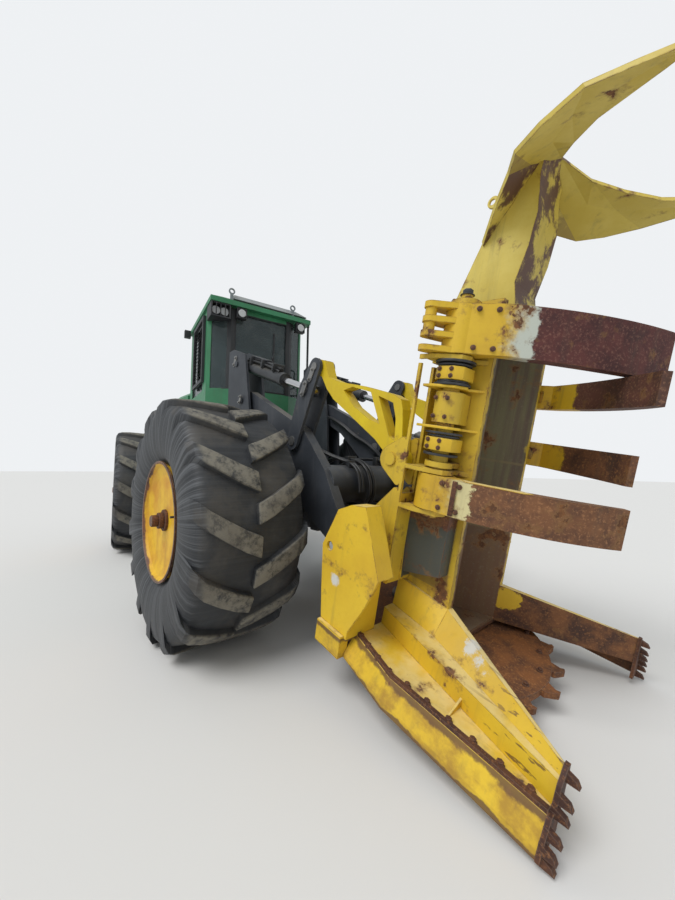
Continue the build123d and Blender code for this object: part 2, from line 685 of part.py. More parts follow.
def saw_disc():
    """Saw disc with its raised hub and rim, and hooked teeth in holders round it."""
    low = disc_h - disc_t / 2
    disc = Solid.make_cylinder(disc_r, disc_t, Plane(origin=(disc_a, 0, low)))
    hub = Solid.make_cylinder(160.0, disc_t + 10, Plane(origin=(disc_a, 0, low)))
    pieces = [disc, hub]
    shape = (
        (disc_r - 30, -46), (disc_r + 16, -52), (tooth_r - 22, -20), (tooth_r, 6), (tooth_r - 2, 30),
        (tooth_r - 24, 22), (disc_r + 6, 44), (disc_r - 30, 40),
    )
    for i in range(teeth):
        tooth = slab_xy(shape, low + 3, low + disc_t - 3)
        pieces.append(tooth.moved(Location((disc_a, 0, 0), (0, 0, 360.0 / teeth * i))))
    bore = bar((disc_a, 0, low - 5), (disc_a, 0, deck_h), spindle_r + run_gap)
    return cut(fuse(pieces), [bore])


def felling_arm(side, h_low, h_high, tip, bow, boss_r, crank):
    """Curved arm that turns about its post; the tip is where it is in the photo."""
    da = tip[0] - post_a
    db = tip[1] - side * post_b
    length = math.hypot(da, db)
    turn = math.degrees(math.atan2(db, da))

    def at(x, y):
        return Vector(x, side * y, h_low)

    tip_out = at(length, 16)
    tip_in = at(length - 14, -18)
    out_root = at(arm_root, bow)
    in_root = at(arm_root + 10, bow - root_t)
    edges = [
        Edge.make_line(at(0, boss_r - 4), out_root),
        Edge.make_three_point_arc(out_root, at(0.6 * length, bow - 6), tip_out),
        Edge.make_line(tip_out, tip_in),
        Edge.make_three_point_arc(tip_in, at(0.58 * length, bow - arm_blade), in_root),
        Edge.make_line(in_root, at(0, 4 - boss_r)),
        Edge.make_line(at(0, 4 - boss_r), at(0, boss_r - 4)),
    ]
    blade = Solid.extrude(Face(Wire(edges)), Vector(0, 0, h_high - h_low))
    pieces = [blade, bar((0, 0, h_low), (0, 0, h_high), boss_r)]
    if crank > 0:
        aim = math.radians(crank_turn - turn)
        end = (crank * math.cos(aim), crank * math.sin(aim))
        step = (h_high - h_low - crank_t) / 3
        for i in range(4):
            low = h_low + i * step
            pieces.append(lug_plate((0, 0, 78.0), (*end, 38.0), low, low + crank_t))
        pieces.append(bar((*end, h_low + step), (*end, h_high - step), 30.0))
        pieces.append(bar((*end, h_low + 2 * step), (*end, h_high), 30.0))
    bore = bar((0, 0, h_low - 5), (0, 0, h_high + 5), post_r + run_gap)
    tools = [bore]
    if side > 0:
        mid = (h_low + h_high) / 2
        window = block(boss_r - 10, arm_root - 30, -2 * boss_r, 2 * boss_r, mid - 38, mid + 38)
        tools.append(window)
    body = cut(fuse(pieces), tools)
    return [Location((post_a, side * post_b, 0), (0, 0, turn)) * s for s in body]


def rear_frame():
    side_plate = (
        (rear_end, 760), (rear_axle_x - 330, 760), (rear_axle_x - 260, swing_arch_z), (rear_axle_x + 260, swing_arch_z),
        (rear_axle_x + 330, frame_low), (rear_nose, frame_low), (rear_nose, frame_top), (rear_end, frame_top),
    )
    pieces = []
    for low, high in side_pair(rear_half - plate, rear_half):
        pieces.append(slab_xz(side_plate, low, high))
    pieces += [
        block(rear_end, rear_nose, -rear_half, rear_half, frame_top - plate, frame_top),
        block(rear_axle_x + 340, rear_nose, -rear_half, rear_half, frame_low, frame_low + plate),
        block(rear_nose - plate, rear_nose, -rear_half, rear_half, frame_low, frame_top),
        slab_xz(((rear_end - 150, 760), (rear_end - 110, 700), (rear_end, 700), (rear_end, 1180), (rear_end - 150, 1180)), -bumper_half, bumper_half),
        slab_xy(((rear_end - 150, -90), (rear_end - 150, 90), (tow_x - 50, 62), (tow_x - 78, 0), (tow_x - 50, -62)), tow_z, tow_z + tow_t),
    ]
    for x_low in (rear_axle_x - 260, rear_axle_x + 230):
        ear = block(x_low, x_low + 30, plate - rear_half, rear_half - plate, 800, frame_top - plate)
        pieces.append(ear - bar((x_low - 5, 0, axle_z), (x_low + 40, 0, axle_z), nose_r + run_gap))
    for z_low in (648.0, 751.0, 983.0, 1086.0):
        pieces.append(slab_xy(hinge_ear(rear_nose, hinge_x + 90, 215), z_low, z_low + 46))
    for z_low, z_high in ((640, 804), (975, 1140)):
        pieces.append(bar((hinge_x, 0, z_low), (hinge_x, 0, z_high), hinge_r))
    for low, high in side_pair(120, 225):
        pieces.append(block(cab_rear + 10, cab_rear + 40, low, high, frame_top, cab_floor))
    for low, high in side_pair(120, 225):
        pieces.append(slab_xz(((rear_nose, frame_top - 60), (rear_nose + 300, cab_floor - 60), (rear_nose + 300, cab_floor), (rear_nose - 40, cab_floor), (rear_nose - 40, frame_top - 60)), low, high))
    for z_low in (steer_z - eye_t / 2 - side_gap - plate, steer_z + eye_t / 2 + side_gap):
        for low, high in side_pair(rear_half - plate, steer_base[1] + 60):
            pieces.append(block(steer_base[0] - 75, steer_base[0] + 45, low, high, z_low, z_low + plate))
    for y in (-steer_base[1], steer_base[1]):
        start = (steer_base[0], y, steer_z - eye_t / 2 - side_gap - plate - 8)
        pieces.append(bar(start, (start[0], y, 2 * steer_z - start[2]), steer_pin_r))
    tow_bore = bar((tow_x, 0, tow_z - 5), (tow_x, 0, tow_z + tow_t + 5), tow_r)
    return cut(fuse(pieces), [tow_bore])


def cab_frame():
    """Cab shell: floor, lower walls and posts round the window openings."""
    outer = (
        (cab_rear, -cab_half), (cab_front, -cab_half), (bay_front, -bay_half), (bay_front, bay_half),
        (cab_front, cab_half), (cab_rear, cab_half),
    )
    inner = (
        (cab_rear + wall, -cab_half + wall), (cab_front - wall * 0.5, -cab_half + wall), (bay_front - wall, -bay_half + wall * 0.5),
        (bay_front - wall, bay_half - wall * 0.5), (cab_front - wall * 0.5, cab_half - wall), (cab_rear + wall, cab_half - wall),
    )
    shell = slab_xy(outer, cab_floor, cab_top) - slab_xy(inner, cab_floor + wall, cab_top + 5)
    top = cab_top - top_rail
    windows = [
        block(cab_rear + 150, cab_front - 200, -cab_half - 50, -cab_half + 100, sill_z, top),
        block(cab_rear + 150, cab_front - 110, cab_half - 100, cab_half + 50, cab_floor + 60, top),
        block(bay_front - 100, bay_front + 50, -bay_half + 40, bay_half - 40, sill_z, top),
        block(cab_rear - 50, cab_rear + 100, -cab_half + 120, cab_half - 120, sill_z + 50, top),
    ]
    for side in (-1, 1):
        windows.append(corner_at(side) * block(-95, 95, -80, 80, sill_z, top))
    return fuse(cut([shell], windows) + door_hinge("cab"))


def cab_roof():
    """Hipped roof over the cab with its straight edge."""
    edge = block(cab_rear - 60, roof_front, -roof_half, roof_half, cab_top, cab_top + roof_t)
    rings = []
    for inset, z in ((0, cab_top + roof_t - 1), (roof_slope, cab_top + roof_t + roof_rise)):
        x0 = cab_rear - 60 + inset
        x1 = roof_front - inset
        half = roof_half - inset
        rings.append(Wire.make_polygon([Vector(x0, -half, z), Vector(x1, -half, z), Vector(x1, half, z), Vector(x0, half, z)]))
    return fuse([edge, Solid.make_loft(rings, True)])


def roof_hatch():
    """Raised hatch over the roof's front slope, and the two lifting rings beside it."""
    base_z = cab_top + roof_t + 30
    rings = []
    for x0, x1, y0, y1, z in ((-1780, -936, -365, 575, base_z), (-1720, -1040, -335, 455, base_z + 92)):
        rings.append(Wire.make_polygon([Vector(x0, y0, z), Vector(x1, y0, z), Vector(x1, y1, z), Vector(x0, y1, z)]))
    lid = cut([Solid.make_loft(rings, True)], cab_roof())
    pieces = [max(lid, key=lambda part: part.volume)]
    for y in (-385, 385):
        middle = (-965, y, ring_z)
        ring = bar(middle, (middle[0] + ring_t, y, ring_z), 36.0)
        foot = block(-965, -965 + ring_t, y - 18, y + 18, cab_top + roof_t - 20, ring_z)
        pieces += [s - bar((-980, y, ring_z), (-940, y, ring_z), ring_r) for s in ring.fuse(foot).solids()]
    return [s for part in fuse(pieces) for s in cut([part], cab_roof())]


def cab_screens():
    """Louvred screen over the right side window."""
    y0 = -cab_half - 34
    y1 = -cab_half
    low = sill_z + 90
    high = cab_top - 60
    pieces = [
        block(-1870, -1830, y0, y1, low, high), block(-1300, -1260, y0, y1, low, high),
        block(-1870, -1260, y0, y1, low, low + 40), block(-1870, -1260, y0, y1, high - 40, high),
    ]
    pitch = (high - low - 80) / 16
    for i in range(16):
        z = low + 44 + i * pitch
        pieces.append(slab_yz(((y0 + 2, z), (y0 + 8, z), (y1 - 2, z + 34), (y1 - 8, z + 34)), -1840, -1290))
    return fuse(pieces)


def lamp_guard():
    """Barred box under the roof's right front corner."""
    low = cab_top - 165
    shell = slab_xy(((-1150, -615), (-935, -615), (-935, -395), (-1012, -395)), low, cab_top)
    hollow = slab_xy(((-1090, -600), (-930, -600), (-930, -410), (-1000, -410)), low + 12, cab_top - 12)
    pieces = cut([shell], [hollow])
    for y in (-562, -512, -462):
        pieces.append(block(-947, -937, y, y + 10, low + 6, cab_top - 6))
    return fuse(pieces)


def grab_rail():
    """Upright rail with a hand loop outside the left front corner of the cab."""
    at = (-1040, 650)
    pieces = [
        bar((*at, 2240), (*at, cab_top + 30), 14.0),
        bar((*at, 2255), (cab_front - 20, cab_half - 15, 2255), 11.0),
        block(at[0] - 14, at[0] + 14, roof_half, at[1] + 14, cab_top + 8, cab_top + 34),
    ]
    loop_x = at[0] - 66
    pieces += [
        bar((*at, 2340), (loop_x, at[1], 2370), 10.0), bar((*at, 2620), (loop_x, at[1], 2590), 10.0),
        bar((loop_x, at[1], 2366), (loop_x, at[1], 2594), 10.0),
    ]
    return cut(fuse(pieces), cab_frame())


def slab_yz(points, x_low, x_high):
    face = Face(Wire.make_polygon([Vector(x_low, y, z) for y, z in points]))
    return Solid.extrude(face, Vector(x_high - x_low, 0, 0))


def cab_glass():
    """Window panes set in their openings, one solid each."""
    top = cab_top - top_rail
    panes = [
        block(bay_front - 30, bay_front - 30 + glass_t, -bay_half + 40, bay_half - 40, sill_z, top),
        block(cab_rear + 150, cab_front - 200, -cab_half + 14, -cab_half + 14 + glass_t, sill_z, top),
        block(cab_rear + 14, cab_rear + 14 + glass_t, -cab_half + 120, cab_half - 120, sill_z + 50, top),
    ]
    for side in (-1, 1):
        panes.append(corner_at(side) * block(-95, 95, -14 * side - glass_t / 2, glass_t / 2 - 14 * side, sill_z, top))
    return panes


def corner_at(side):
    """Middle and direction of the slanting wall at a front corner of the cab."""
    turn = math.degrees(math.atan2(side * (bay_half - cab_half), bay_front - cab_front))
    return Location(((cab_front + bay_front) / 2, side * (cab_half + bay_half) / 2, 0), (0, 0, turn))


def cab_seat():
    """Seat on its pedestal with arm pods and control sticks."""
    base_z = cab_floor + wall
    pieces = [
        block(-1980, -1500, -240, 240, 1900, 2020),
        slab_xz(((-2060, 2015), (-1960, 2015), (-1990, 2700), (-2070, 2700)), -230, 230),
        slab_xz(((-2070, 2690), (-1992, 2690), (-1998, 2860), (-2060, 2860)), -130, 130),
        block(-1850, -1650, -120, 120, base_z, 1900),
    ]
    for low, high in side_pair(235, 335):
        pieces.append(slab_xz(((-1960, 2040), (-1960, 2230), (-1560, 2210), (-1500, 2160), (-1560, 2090), (-1700, 2000)), low, high))
    for y in (-285, 285):
        pieces.append(bar((-1560, y, 2180), (-1545, y, 2330), 16.0))
    return fuse(pieces)


def door_hinge(owner):
    """Three hinge knuckles: the cab's lower lug with its pin, or the door's barrel and strap."""
    pieces = []
    for z in hinge_levels:
        at = (door_hinge_x, cab_half + hinge_out)
        if owner == "cab":
            pieces.append(block(at[0] - 60, at[0] + 3, cab_half - 1, cab_half + 8, z - 40, z - 1))
            pieces.append(bar((*at, z - 40), (*at, z - 0.3), 13.0))
            pieces.append(bar((*at, z - 40), (*at, z + 38), 6.0))
        else:
            lug = block(at[0] + 5, at[0] + 90, cab_half - 1, cab_half + 8, z, z + 36)
            ring = bar((*at, z), (*at, z + 36), 13.0)
            pieces += [s - bar((*at, z - 1), (*at, z + 40), 6.0 + run_gap) for s in lug.fuse(ring).solids()]
    return pieces


def cab_door():
    x0 = door_hinge_x + side_gap
    x1 = cab_front - 110 - side_gap
    door = block(x0, x1, cab_half - wall, cab_half, cab_floor + 60 + side_gap, cab_top - top_rail - side_gap)
    hole = block(x0 + 60, x1 - 60, cab_half - 100, cab_half + 50, sill_z - 250, cab_top - 140)
    pane = block(x0 + 60, x1 - 60, cab_half - 28, cab_half - 16, sill_z - 250, cab_top - 140)
    return fuse((door - hole).solids() + door_hinge("door")), [pane]


def hood():
    """Engine hood: narrow body between the rear tyres and a wider lid above them."""
    t = 8.0
    low_top = 2120
    body = block(hood_rear, hood_front, -hood_half, hood_half, frame_top, low_top)
    hollow = block(hood_rear + t, hood_front - t, t - hood_half, hood_half - t, frame_top - 5, low_top - t)
    slots = []
    for x_low in (-4250, -3690, -3130):
        for i in range(7):
            z = 1330 + i * 85
            slots.append(block(x_low, x_low + 440, -hood_half - 5, hood_half + 5, z, z + 34))
    slots.append(block(hood_rear - 5, hood_rear + t + 5, -430, 430, 1280, 2060))
    flare = ((hood_front, 620), (-2900, 720), (-4300, 780), (hood_rear, 700))

    def ring(inset, z):
        half = [(x + (inset if x == hood_rear else -inset if x == hood_front else 0), y - inset) for x, y in flare]
        return Wire.make_polygon([Vector(x, y, z) for x, y in half] + [Vector(x, -y, z) for x, y in half[::-1]])

    lid = Solid.make_loft([ring(0, low_top), ring(0, 2290), ring(90, 2370)], True)
    inside = Solid.make_loft([ring(t, low_top + t), ring(t, 2286), ring(96, 2360)], True)
    steps = [block(-3900 + i * 180, -3850 + i * 180, -250, 250, 2368, 2380) for i in range(6)]
    return fuse(cut([body], [hollow] + slots) + cut([lid], [inside]) + steps)


def engine_block():
    return [block(-3900, -2700, -330, 330, frame_top, 1950)]


def rear_grille():
    """Slatted grille in the hood's rear opening."""
    x0 = hood_rear - 34
    pieces = [
        block(x0, hood_rear, -470, -420, 1240, 2090), block(x0, hood_rear, 420, 470, 1240, 2090),
        block(x0, hood_rear, -470, 470, 1240, 1290), block(x0, hood_rear, -470, 470, 2040, 2090),
        block(x0, hood_rear, -20, 20, 1280, 2050),
    ]
    for i in range(13):
        z = 1305 + i * 56
        pieces.append(slab_xz(((x0 + 4, z), (x0 + 10, z), (hood_rear - 4, z + 36), (hood_rear - 10, z + 36)), -425, 425))
    return fuse(pieces)


def exhaust():
    """Exhaust stack with its collar and a slanted mouth."""
    x, y = stack_at
    pipe = bar((x, y, 2370), (x, y, stack_top), 55.0)
    collar = bar((x, y, 2370), (x, y, 2420), 82.0)
    mouth = slab_xz(((x - 90, stack_top - 70), (x + 90, stack_top + 5), (x - 90, stack_top + 5)), y - 90, y + 90)
    inside = bar((x, y, 2480), (x, y, stack_top + 5), 49.0)
    return cut(fuse([pipe, collar]), [mouth, inside])


def work_lamps():
    """Lamps under the roof's front edge and one on each rear corner."""
    lamps = []
    for y in (-270.0, 485.0):
        box = block(-990, -930, y - 58, y + 58, cab_top - 128, cab_top - 18)
        foot = block(-985, -950, y - 18, y + 18, cab_top - 20, cab_top)
        lens = bar((-931, y, cab_top - 74), (-915, y, cab_top - 74), 46.0)
        lamps += fuse([box, foot, lens])
    for side in (-1, 1):
        low, high = sorted((side * roof_half, side * (roof_half + 80)))
        lamps += fuse([block(-2215, -2150, low, high, cab_top - 60, cab_top + 40)])
    return lamps


def steer_cylinder(side, inside):
    """Barrel and rod in the rear frame's own place; the rod's eye stands on the front frame."""
    base = Vector(steer_base[0], side * steer_base[1], steer_z)
    tip = (rear_at.inverse() * Location((steer_eye[0], side * steer_eye[1], steer_z))).position
    ends = (base, tip, (0, 0, 1), steer_barrel_l)
    return barrel(*ends, steer_barrel_r, steer_rod_r, steer_pin_r), rod(*ends, steer_rod_r, inside)


front_at = Location((0, 0, 0))
rear_at = Location((hinge_x, 0, 0), (0, 0, steer_deg)) * Location((-hinge_x, 0, 0))
head_at = Location((head_x, 0, head_z), (0, head_pitch, 0))
row_at = Location((-row_x, -row_y, tyre_r - axle_z))
nodes = {}


def keep(name, solids, at=front_at):
    nodes[name] = [row_at * at * s for s in solids]


keep("front_frame", front_frame())
keep("front_axle", axle(0, -320, arch_z))
keep("lift_arms", lift_arms())
keep("head_pivot_pins", pins_on(head_pivot, ear_gap / 2 + ear_t + 10, pin_r))
keep("lever_pivot_pins", pins_on(lever_foot, lever_gap / 2 + lever_t + 8, pin_r))
keep("link_pivot_pins", pins_on(lever_top, lever_gap / 2 + lever_t + 8, tilt_pin_r))
keep("tilt_levers", tilt_levers())
keep("truss_links", truss_links())
tilt_barrels, tilt_rods, tilt_pistons = tilt_cylinders()
keep("tilt_barrels", tilt_barrels)
keep("tilt_rods", tilt_rods)
keep("tilt_pistons", tilt_pistons)
lift_barrels, lift_rods = lift_cylinders()
keep("lift_barrels", lift_barrels)
keep("lift_rods", lift_rods)
keep("felling_tower", tower(), head_at)
keep("tower_crown", crown(), head_at)
keep("right_shoe", shoe(-1), head_at)
keep("left_shoe", shoe(1), head_at)
keep("tooth_plates", shoe_irons(-1) + shoe_irons(1), head_at)
keep("saw_deck", saw_deck(), head_at)
keep("saw_motor", saw_motor(), head_at)
keep("saw_disc", saw_disc(), head_at)
for arm_name, *arm_row in arm_rows:
    keep(arm_name, felling_arm(*arm_row), head_at)
keep("rear_frame", rear_frame(), rear_at)
keep("rear_axle", axle(310, -310, 0), rear_at * Location((-wheelbase, 0, 0)))
keep("cab_frame", cab_frame(), rear_at)
keep("cab_roof", cab_roof(), rear_at)
keep("roof_hatch", roof_hatch(), rear_at)
keep("cab_screens", cab_screens(), rear_at)
keep("lamp_guard", lamp_guard(), rear_at)
keep("cab_grab_rail", grab_rail(), rear_at)
keep("cab_glass", cab_glass(), rear_at)
keep("cab_seat", cab_seat(), rear_at)
door_frame, door_pane = cab_door()
keep("cab_door", door_frame, rear_at)
keep("door_glass", door_pane, rear_at)
keep("hood", hood(), rear_at)
keep("engine_block", engine_block(), rear_at)
keep("rear_grille", rear_grille(), rear_at)
keep("exhaust_stack", exhaust(), rear_at)
keep("work_lamps", work_lamps(), rear_at)
for side_name, side, inside in (("right", -1, steer_in_right), ("left", 1, steer_in_left)):
    body, shaft = steer_cylinder(side, inside)
    keep("steer_barrel_" + side_name, body, rear_at)
    keep("steer_rod_" + side_name, shaft, rear_at)
wheel_tyre = tyre()
wheel_rim = rim()
for end_name, end_x, end_at in (("front", 0.0, front_at), ("rear", -wheelbase, rear_at)):
    for side_name, turn in (("right", 180.0), ("left", 0.0)):
        side = 1 if turn == 0.0 else -1
        wheel_at = end_at * Location((end_x, side * half_track, axle_z), (0, 0, turn))
        keep(end_name + "_" + side_name + "_tyre", wheel_tyre, wheel_at)
        keep(end_name + "_" + side_name + "_rim", wheel_rim, wheel_at)

for name, solids in nodes.items():
    export_step(Compound(solids), "parts/" + name + ".step")
whole = Compound([s for solids in nodes.values() for s in solids]).bounding_box()
print("box low", whole.min, "high", whole.max)
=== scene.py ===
import math

import bmesh
import bpy
from mathutils import Euler, Matrix, Vector


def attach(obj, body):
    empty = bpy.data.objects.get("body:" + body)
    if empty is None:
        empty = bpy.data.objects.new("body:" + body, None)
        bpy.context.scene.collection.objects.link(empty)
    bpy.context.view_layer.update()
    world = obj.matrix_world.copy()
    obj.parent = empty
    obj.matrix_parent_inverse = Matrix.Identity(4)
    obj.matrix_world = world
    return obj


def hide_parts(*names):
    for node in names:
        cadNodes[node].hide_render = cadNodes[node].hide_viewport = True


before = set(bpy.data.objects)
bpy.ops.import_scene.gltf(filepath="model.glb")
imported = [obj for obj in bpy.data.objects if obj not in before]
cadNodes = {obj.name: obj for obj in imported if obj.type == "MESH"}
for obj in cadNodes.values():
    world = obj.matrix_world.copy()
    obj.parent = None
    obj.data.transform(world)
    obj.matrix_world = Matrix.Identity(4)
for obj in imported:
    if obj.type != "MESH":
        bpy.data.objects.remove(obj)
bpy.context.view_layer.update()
print("frame loaded", len(cadNodes), "nodes")

# places
# The front frame, the turned rear frame and the leaning head each have their own directions.
rearTurn = math.radians(-8.86)
headLean = math.radians(11.0)
frontSpace = Matrix.Translation((0.990, -0.167, 0.0))
rearSpace = Matrix.Translation((-0.660, -0.167, 0.0)) @ Matrix.Rotation(rearTurn, 4, "Z")
rearSpace = rearSpace @ Matrix.Translation((1.650, 0, 0))
headSpace = Matrix.Translation((3.325, -0.167, 0.008)) @ Matrix.Rotation(headLean, 4, "Y")
sides = {"right": -1, "left": 1}


# finish tools, which build the finish whose nodes are on the bench
looks = {}
bench = {}


def plug(value, socket):
    if isinstance(value, bpy.types.NodeSocket):
        bench["tree"].links.new(value, socket)
    elif isinstance(value, (tuple, list)) and len(value) == 3 and socket.type == "RGBA":
        socket.default_value = (*value, 1)
    else:
        socket.default_value = value


def addNode(kind, inputs=None, **settings):
    node = bench["tree"].nodes.new("ShaderNode" + kind)
    for key, value in settings.items():
        setattr(node, key, value)
    for key, value in (inputs or {}).items():
        plug(value, node.inputs[key])
    return node


def mathOf(work, a, b=0.0):
    return addNode("Math", {0: a, 1: b}, operation=work).outputs[0]


def plus(a, b):
    return mathOf("ADD", a, b)


def times(first, *others):
    for other in others:
        first = mathOf("MULTIPLY", first, other)
    return first


def vectorOf(work, a, b):
    return addNode("VectorMath", {0: a, 1: b}, operation=work).outputs["Value"]


def axesOf(vector):
    return tuple(addNode("SeparateXYZ", {0: vector}).outputs)


def normalOf():
    return addNode("NewGeometry").outputs["Normal"]


def fadeOf(value, low, high, top=1.0):
    inputs = {"Value": value, "From Min": low, "From Max": high, "To Max": top}
    return addNode("MapRange", inputs, interpolation_type="SMOOTHSTEP", clamp=True).outputs[0]


def bandOf(value, low, lowFull, highFull, high):
    return times(fadeOf(value, low, lowFull), fadeOf(value, high, highFull))


def mixOf(amount, a, b):
    return addNode("Mix", {0: amount, 6: a, 7: b}, data_type="RGBA").outputs[2]


def noiseOf(place, scale, detail=6.0, rough=0.6, stretch=None):
    if stretch:
        place = addNode("Mapping", {"Vector": place, "Scale": stretch}).outputs[0]
    inputs = {"Vector": place, "Scale": scale, "Detail": detail, "Roughness": rough}
    return addNode("TexNoise", inputs).outputs["Fac"]


def patchesOf(place, scale, detail, low, high, top=1.0, rough=0.6, stretch=None):
    return fadeOf(noiseOf(place, scale, detail, rough, stretch), low, high, top)


def wobbleOf(noise, size):
    return times(mathOf("SUBTRACT", noise, 0.5), size)


def placeIn(space):
    coords = addNode("TexCoord").outputs["Object"]
    back = space.inverted()
    inputs = {"Vector": coords, "Location": back.to_translation(), "Rotation": back.to_euler()}
    return addNode("Mapping", inputs).outputs[0]


def edgeOf(width):
    # where a rounded normal leaves the flat one, the paint has rubbed through
    bevel = addNode("Bevel", {"Radius": width}, samples=4)
    same = vectorOf("DOT_PRODUCT", bevel.outputs[0], normalOf())
    return fadeOf(mathOf("SUBTRACT", 1.0, same), 0.02, 0.22)


def bumpOf(height, strength, distance):
    return addNode("Bump", {"Height": height, "Strength": strength, "Distance": distance}).outputs[0]


def startFinish(name, space=None):
    material = bpy.data.materials.new(name)
    material.use_nodes = True
    looks[name] = material
    bench.update(tree=material.node_tree, material=material)
    return placeIn(space or Matrix.Identity(4))


def endFinish(colour, rough, inputs=None):
    shader = bench["tree"].nodes["Principled BSDF"]
    for key, value in {"Base Color": colour, "Roughness": rough, **(inputs or {})}.items():
        plug(value, shader.inputs[key])
    return bench["material"]


# view, floor and light
photoView = {
    "place": (3.752, -2.2931, 1.3114), "tilt": 92.753, "heading": 48.936, "roll": 0.928,
    "lens": 13.889, "film": 36.0, "near": 0.03,
}
studio = {
    "floorColour": (0.70, 0.69, 0.67, 1), "floorRough": 0.9, "floorRadius": 60, "floorDrop": -0.002,
    "skyColour": (0.86, 0.88, 0.90, 1), "skyTint": (0.93, 0.97, 1.0, 1), "skyLight": 0.62,
    "sunLight": 2.0, "sunSoft": 34.0, "sunTurn": (34, -14, 24),
}


def setView():
    data = bpy.data.cameras.new("photoCamera")
    data.lens = photoView["lens"]
    data.sensor_width = photoView["film"]
    data.clip_start = photoView["near"]
    camera = bpy.data.objects.new("photoCamera", data)
    bpy.context.scene.collection.objects.link(camera)
    tilt, heading, roll = [math.radians(photoView[key]) for key in ("tilt", "heading", "roll")]
    turn = Euler((tilt, 0, heading)).to_matrix().to_4x4()
    camera.matrix_world = Matrix.Translation(photoView["place"]) @ turn @ Matrix.Rotation(roll, 4, "Z")
    bpy.context.scene.camera = camera


def setStudio():
    scene = bpy.context.scene
    scene.view_settings.view_transform = "Standard"
    world = bpy.data.worlds.new("studioSky")
    scene.world = world
    world.use_nodes = True
    world.node_tree.nodes.clear()
    bench["tree"] = world.node_tree
    seen = addNode("Background", {"Color": studio["skyColour"]}).outputs[0]
    lit = addNode("Background", {"Color": studio["skyTint"], "Strength": studio["skyLight"]}).outputs[0]
    both = addNode("MixShader", {0: addNode("LightPath").outputs["Is Camera Ray"], 1: lit, 2: seen})
    addNode("OutputWorld", {0: both.outputs[0]})
    sunData = bpy.data.lights.new("softSun", "SUN")
    sunData.energy = studio["sunLight"]
    sunData.angle = math.radians(studio["sunSoft"])
    sun = bpy.data.objects.new("softSun", sunData)
    scene.collection.objects.link(sun)
    sun.rotation_euler = [math.radians(angle) for angle in studio["sunTurn"]]
    bpy.ops.mesh.primitive_circle_add(
        vertices=64, radius=studio["floorRadius"], fill_type="NGON", location=(0, 0, studio["floorDrop"]))
    floor = bpy.context.object
    floor.name = "studioFloor"
    material = bpy.data.materials.new("paleFloor")
    material.use_nodes = True
    shader = material.node_tree.nodes["Principled BSDF"]
    shader.inputs["Base Color"].default_value = studio["floorColour"]
    shader.inputs["Roughness"].default_value = studio["floorRough"]
    floor.data.materials.append(material)


setView()
setStudio()
print("view and studio set")


# finishes
wornPaint = {
    "shadeScale": 2.4, "chipScale": 5.5, "chipFrom": 0.66, "edge": 0.010, "edgeWear": 0.75, "stain": 0.6,
    "bare": (0.10, 0.045, 0.022), "bareLight": (0.20, 0.085, 0.032), "stainColour": (0.22, 0.11, 0.035),
    "dust": (0.30, 0.26, 0.19), "dustAmount": 0.30, "streaks": 0.30, "streakColour": (0.09, 0.075, 0.05),
    "rough": 0.48, "bump": 0.25,
}


def paintFinish(name, base, shade, zone=None, space=None, **changes):
    look = {**wornPaint, **changes}
    place = startFinish(name, space)
    upward = axesOf(normalOf())[2]
    fine = noiseOf(place, 46.0, 4, 0.7)
    colour = mixOf(patchesOf(place, look["shadeScale"], 5, 0.32, 0.68), base, shade)
    colour = mixOf(times(fadeOf(fine, 0.45, 0.75), 0.35), colour, shade)
    rough = look["rough"]
    if zone:
        colour, rough = zone(place, colour, rough)
    streak = patchesOf(place, 1.0, 6, 0.52, 0.78, look["streaks"], stretch=(17.0, 17.0, 1.3))
    colour = mixOf(streak, colour, look["streakColour"])
    patchy = noiseOf(place, look["chipScale"], 11, 0.66)
    chipFrom = look["chipFrom"]
    halo = fadeOf(patchy, chipFrom - 0.07, chipFrom + 0.01, look["stain"])
    colour = mixOf(halo, colour, look["stainColour"])
    chips = fadeOf(patchy, chipFrom, chipFrom + 0.015)
    worn = patchesOf(place, 13.0, 7, 0.40, 0.58, look["edgeWear"])
    bared = mathOf("MAXIMUM", chips, times(edgeOf(look["edge"]), worn))
    bareTone = mixOf(patchesOf(place, 34.0, 6, 0.40, 0.62), look["bare"], look["bareLight"])
    colour = mixOf(bared, colour, bareTone)
    lying = fadeOf(upward, 0.25, 0.95, look["dustAmount"])
    dusty = times(lying, patchesOf(place, 3.7, 7, 0.35, 0.65))
    colour = mixOf(dusty, colour, look["dust"])
    rough = plus(rough, times(mathOf("MAXIMUM", bared, dusty), 0.32))
    rough = plus(rough, times(fine, 0.12))
    height = mathOf("SUBTRACT", times(fine, 0.4), times(bared, 0.6))
    return endFinish(colour, rough, {"Normal": bumpOf(height, look["bump"], 0.004)})


rustLook = {
    "dark": (0.060, 0.026, 0.016), "mid": (0.155, 0.062, 0.026), "light": (0.30, 0.130, 0.045),
    "scale": 7.0, "edge": (0.24, 0.17, 0.13),
}


def rustColour(place, look):
    coarse = noiseOf(place, look["scale"], 8, 0.65)
    speckle = noiseOf(place, 75.0, 4, 0.7)
    colour = mixOf(fadeOf(coarse, 0.36, 0.64), look["dark"], look["mid"])
    return mixOf(fadeOf(speckle, 0.50, 0.70, 0.75), colour, look["light"]), coarse, speckle


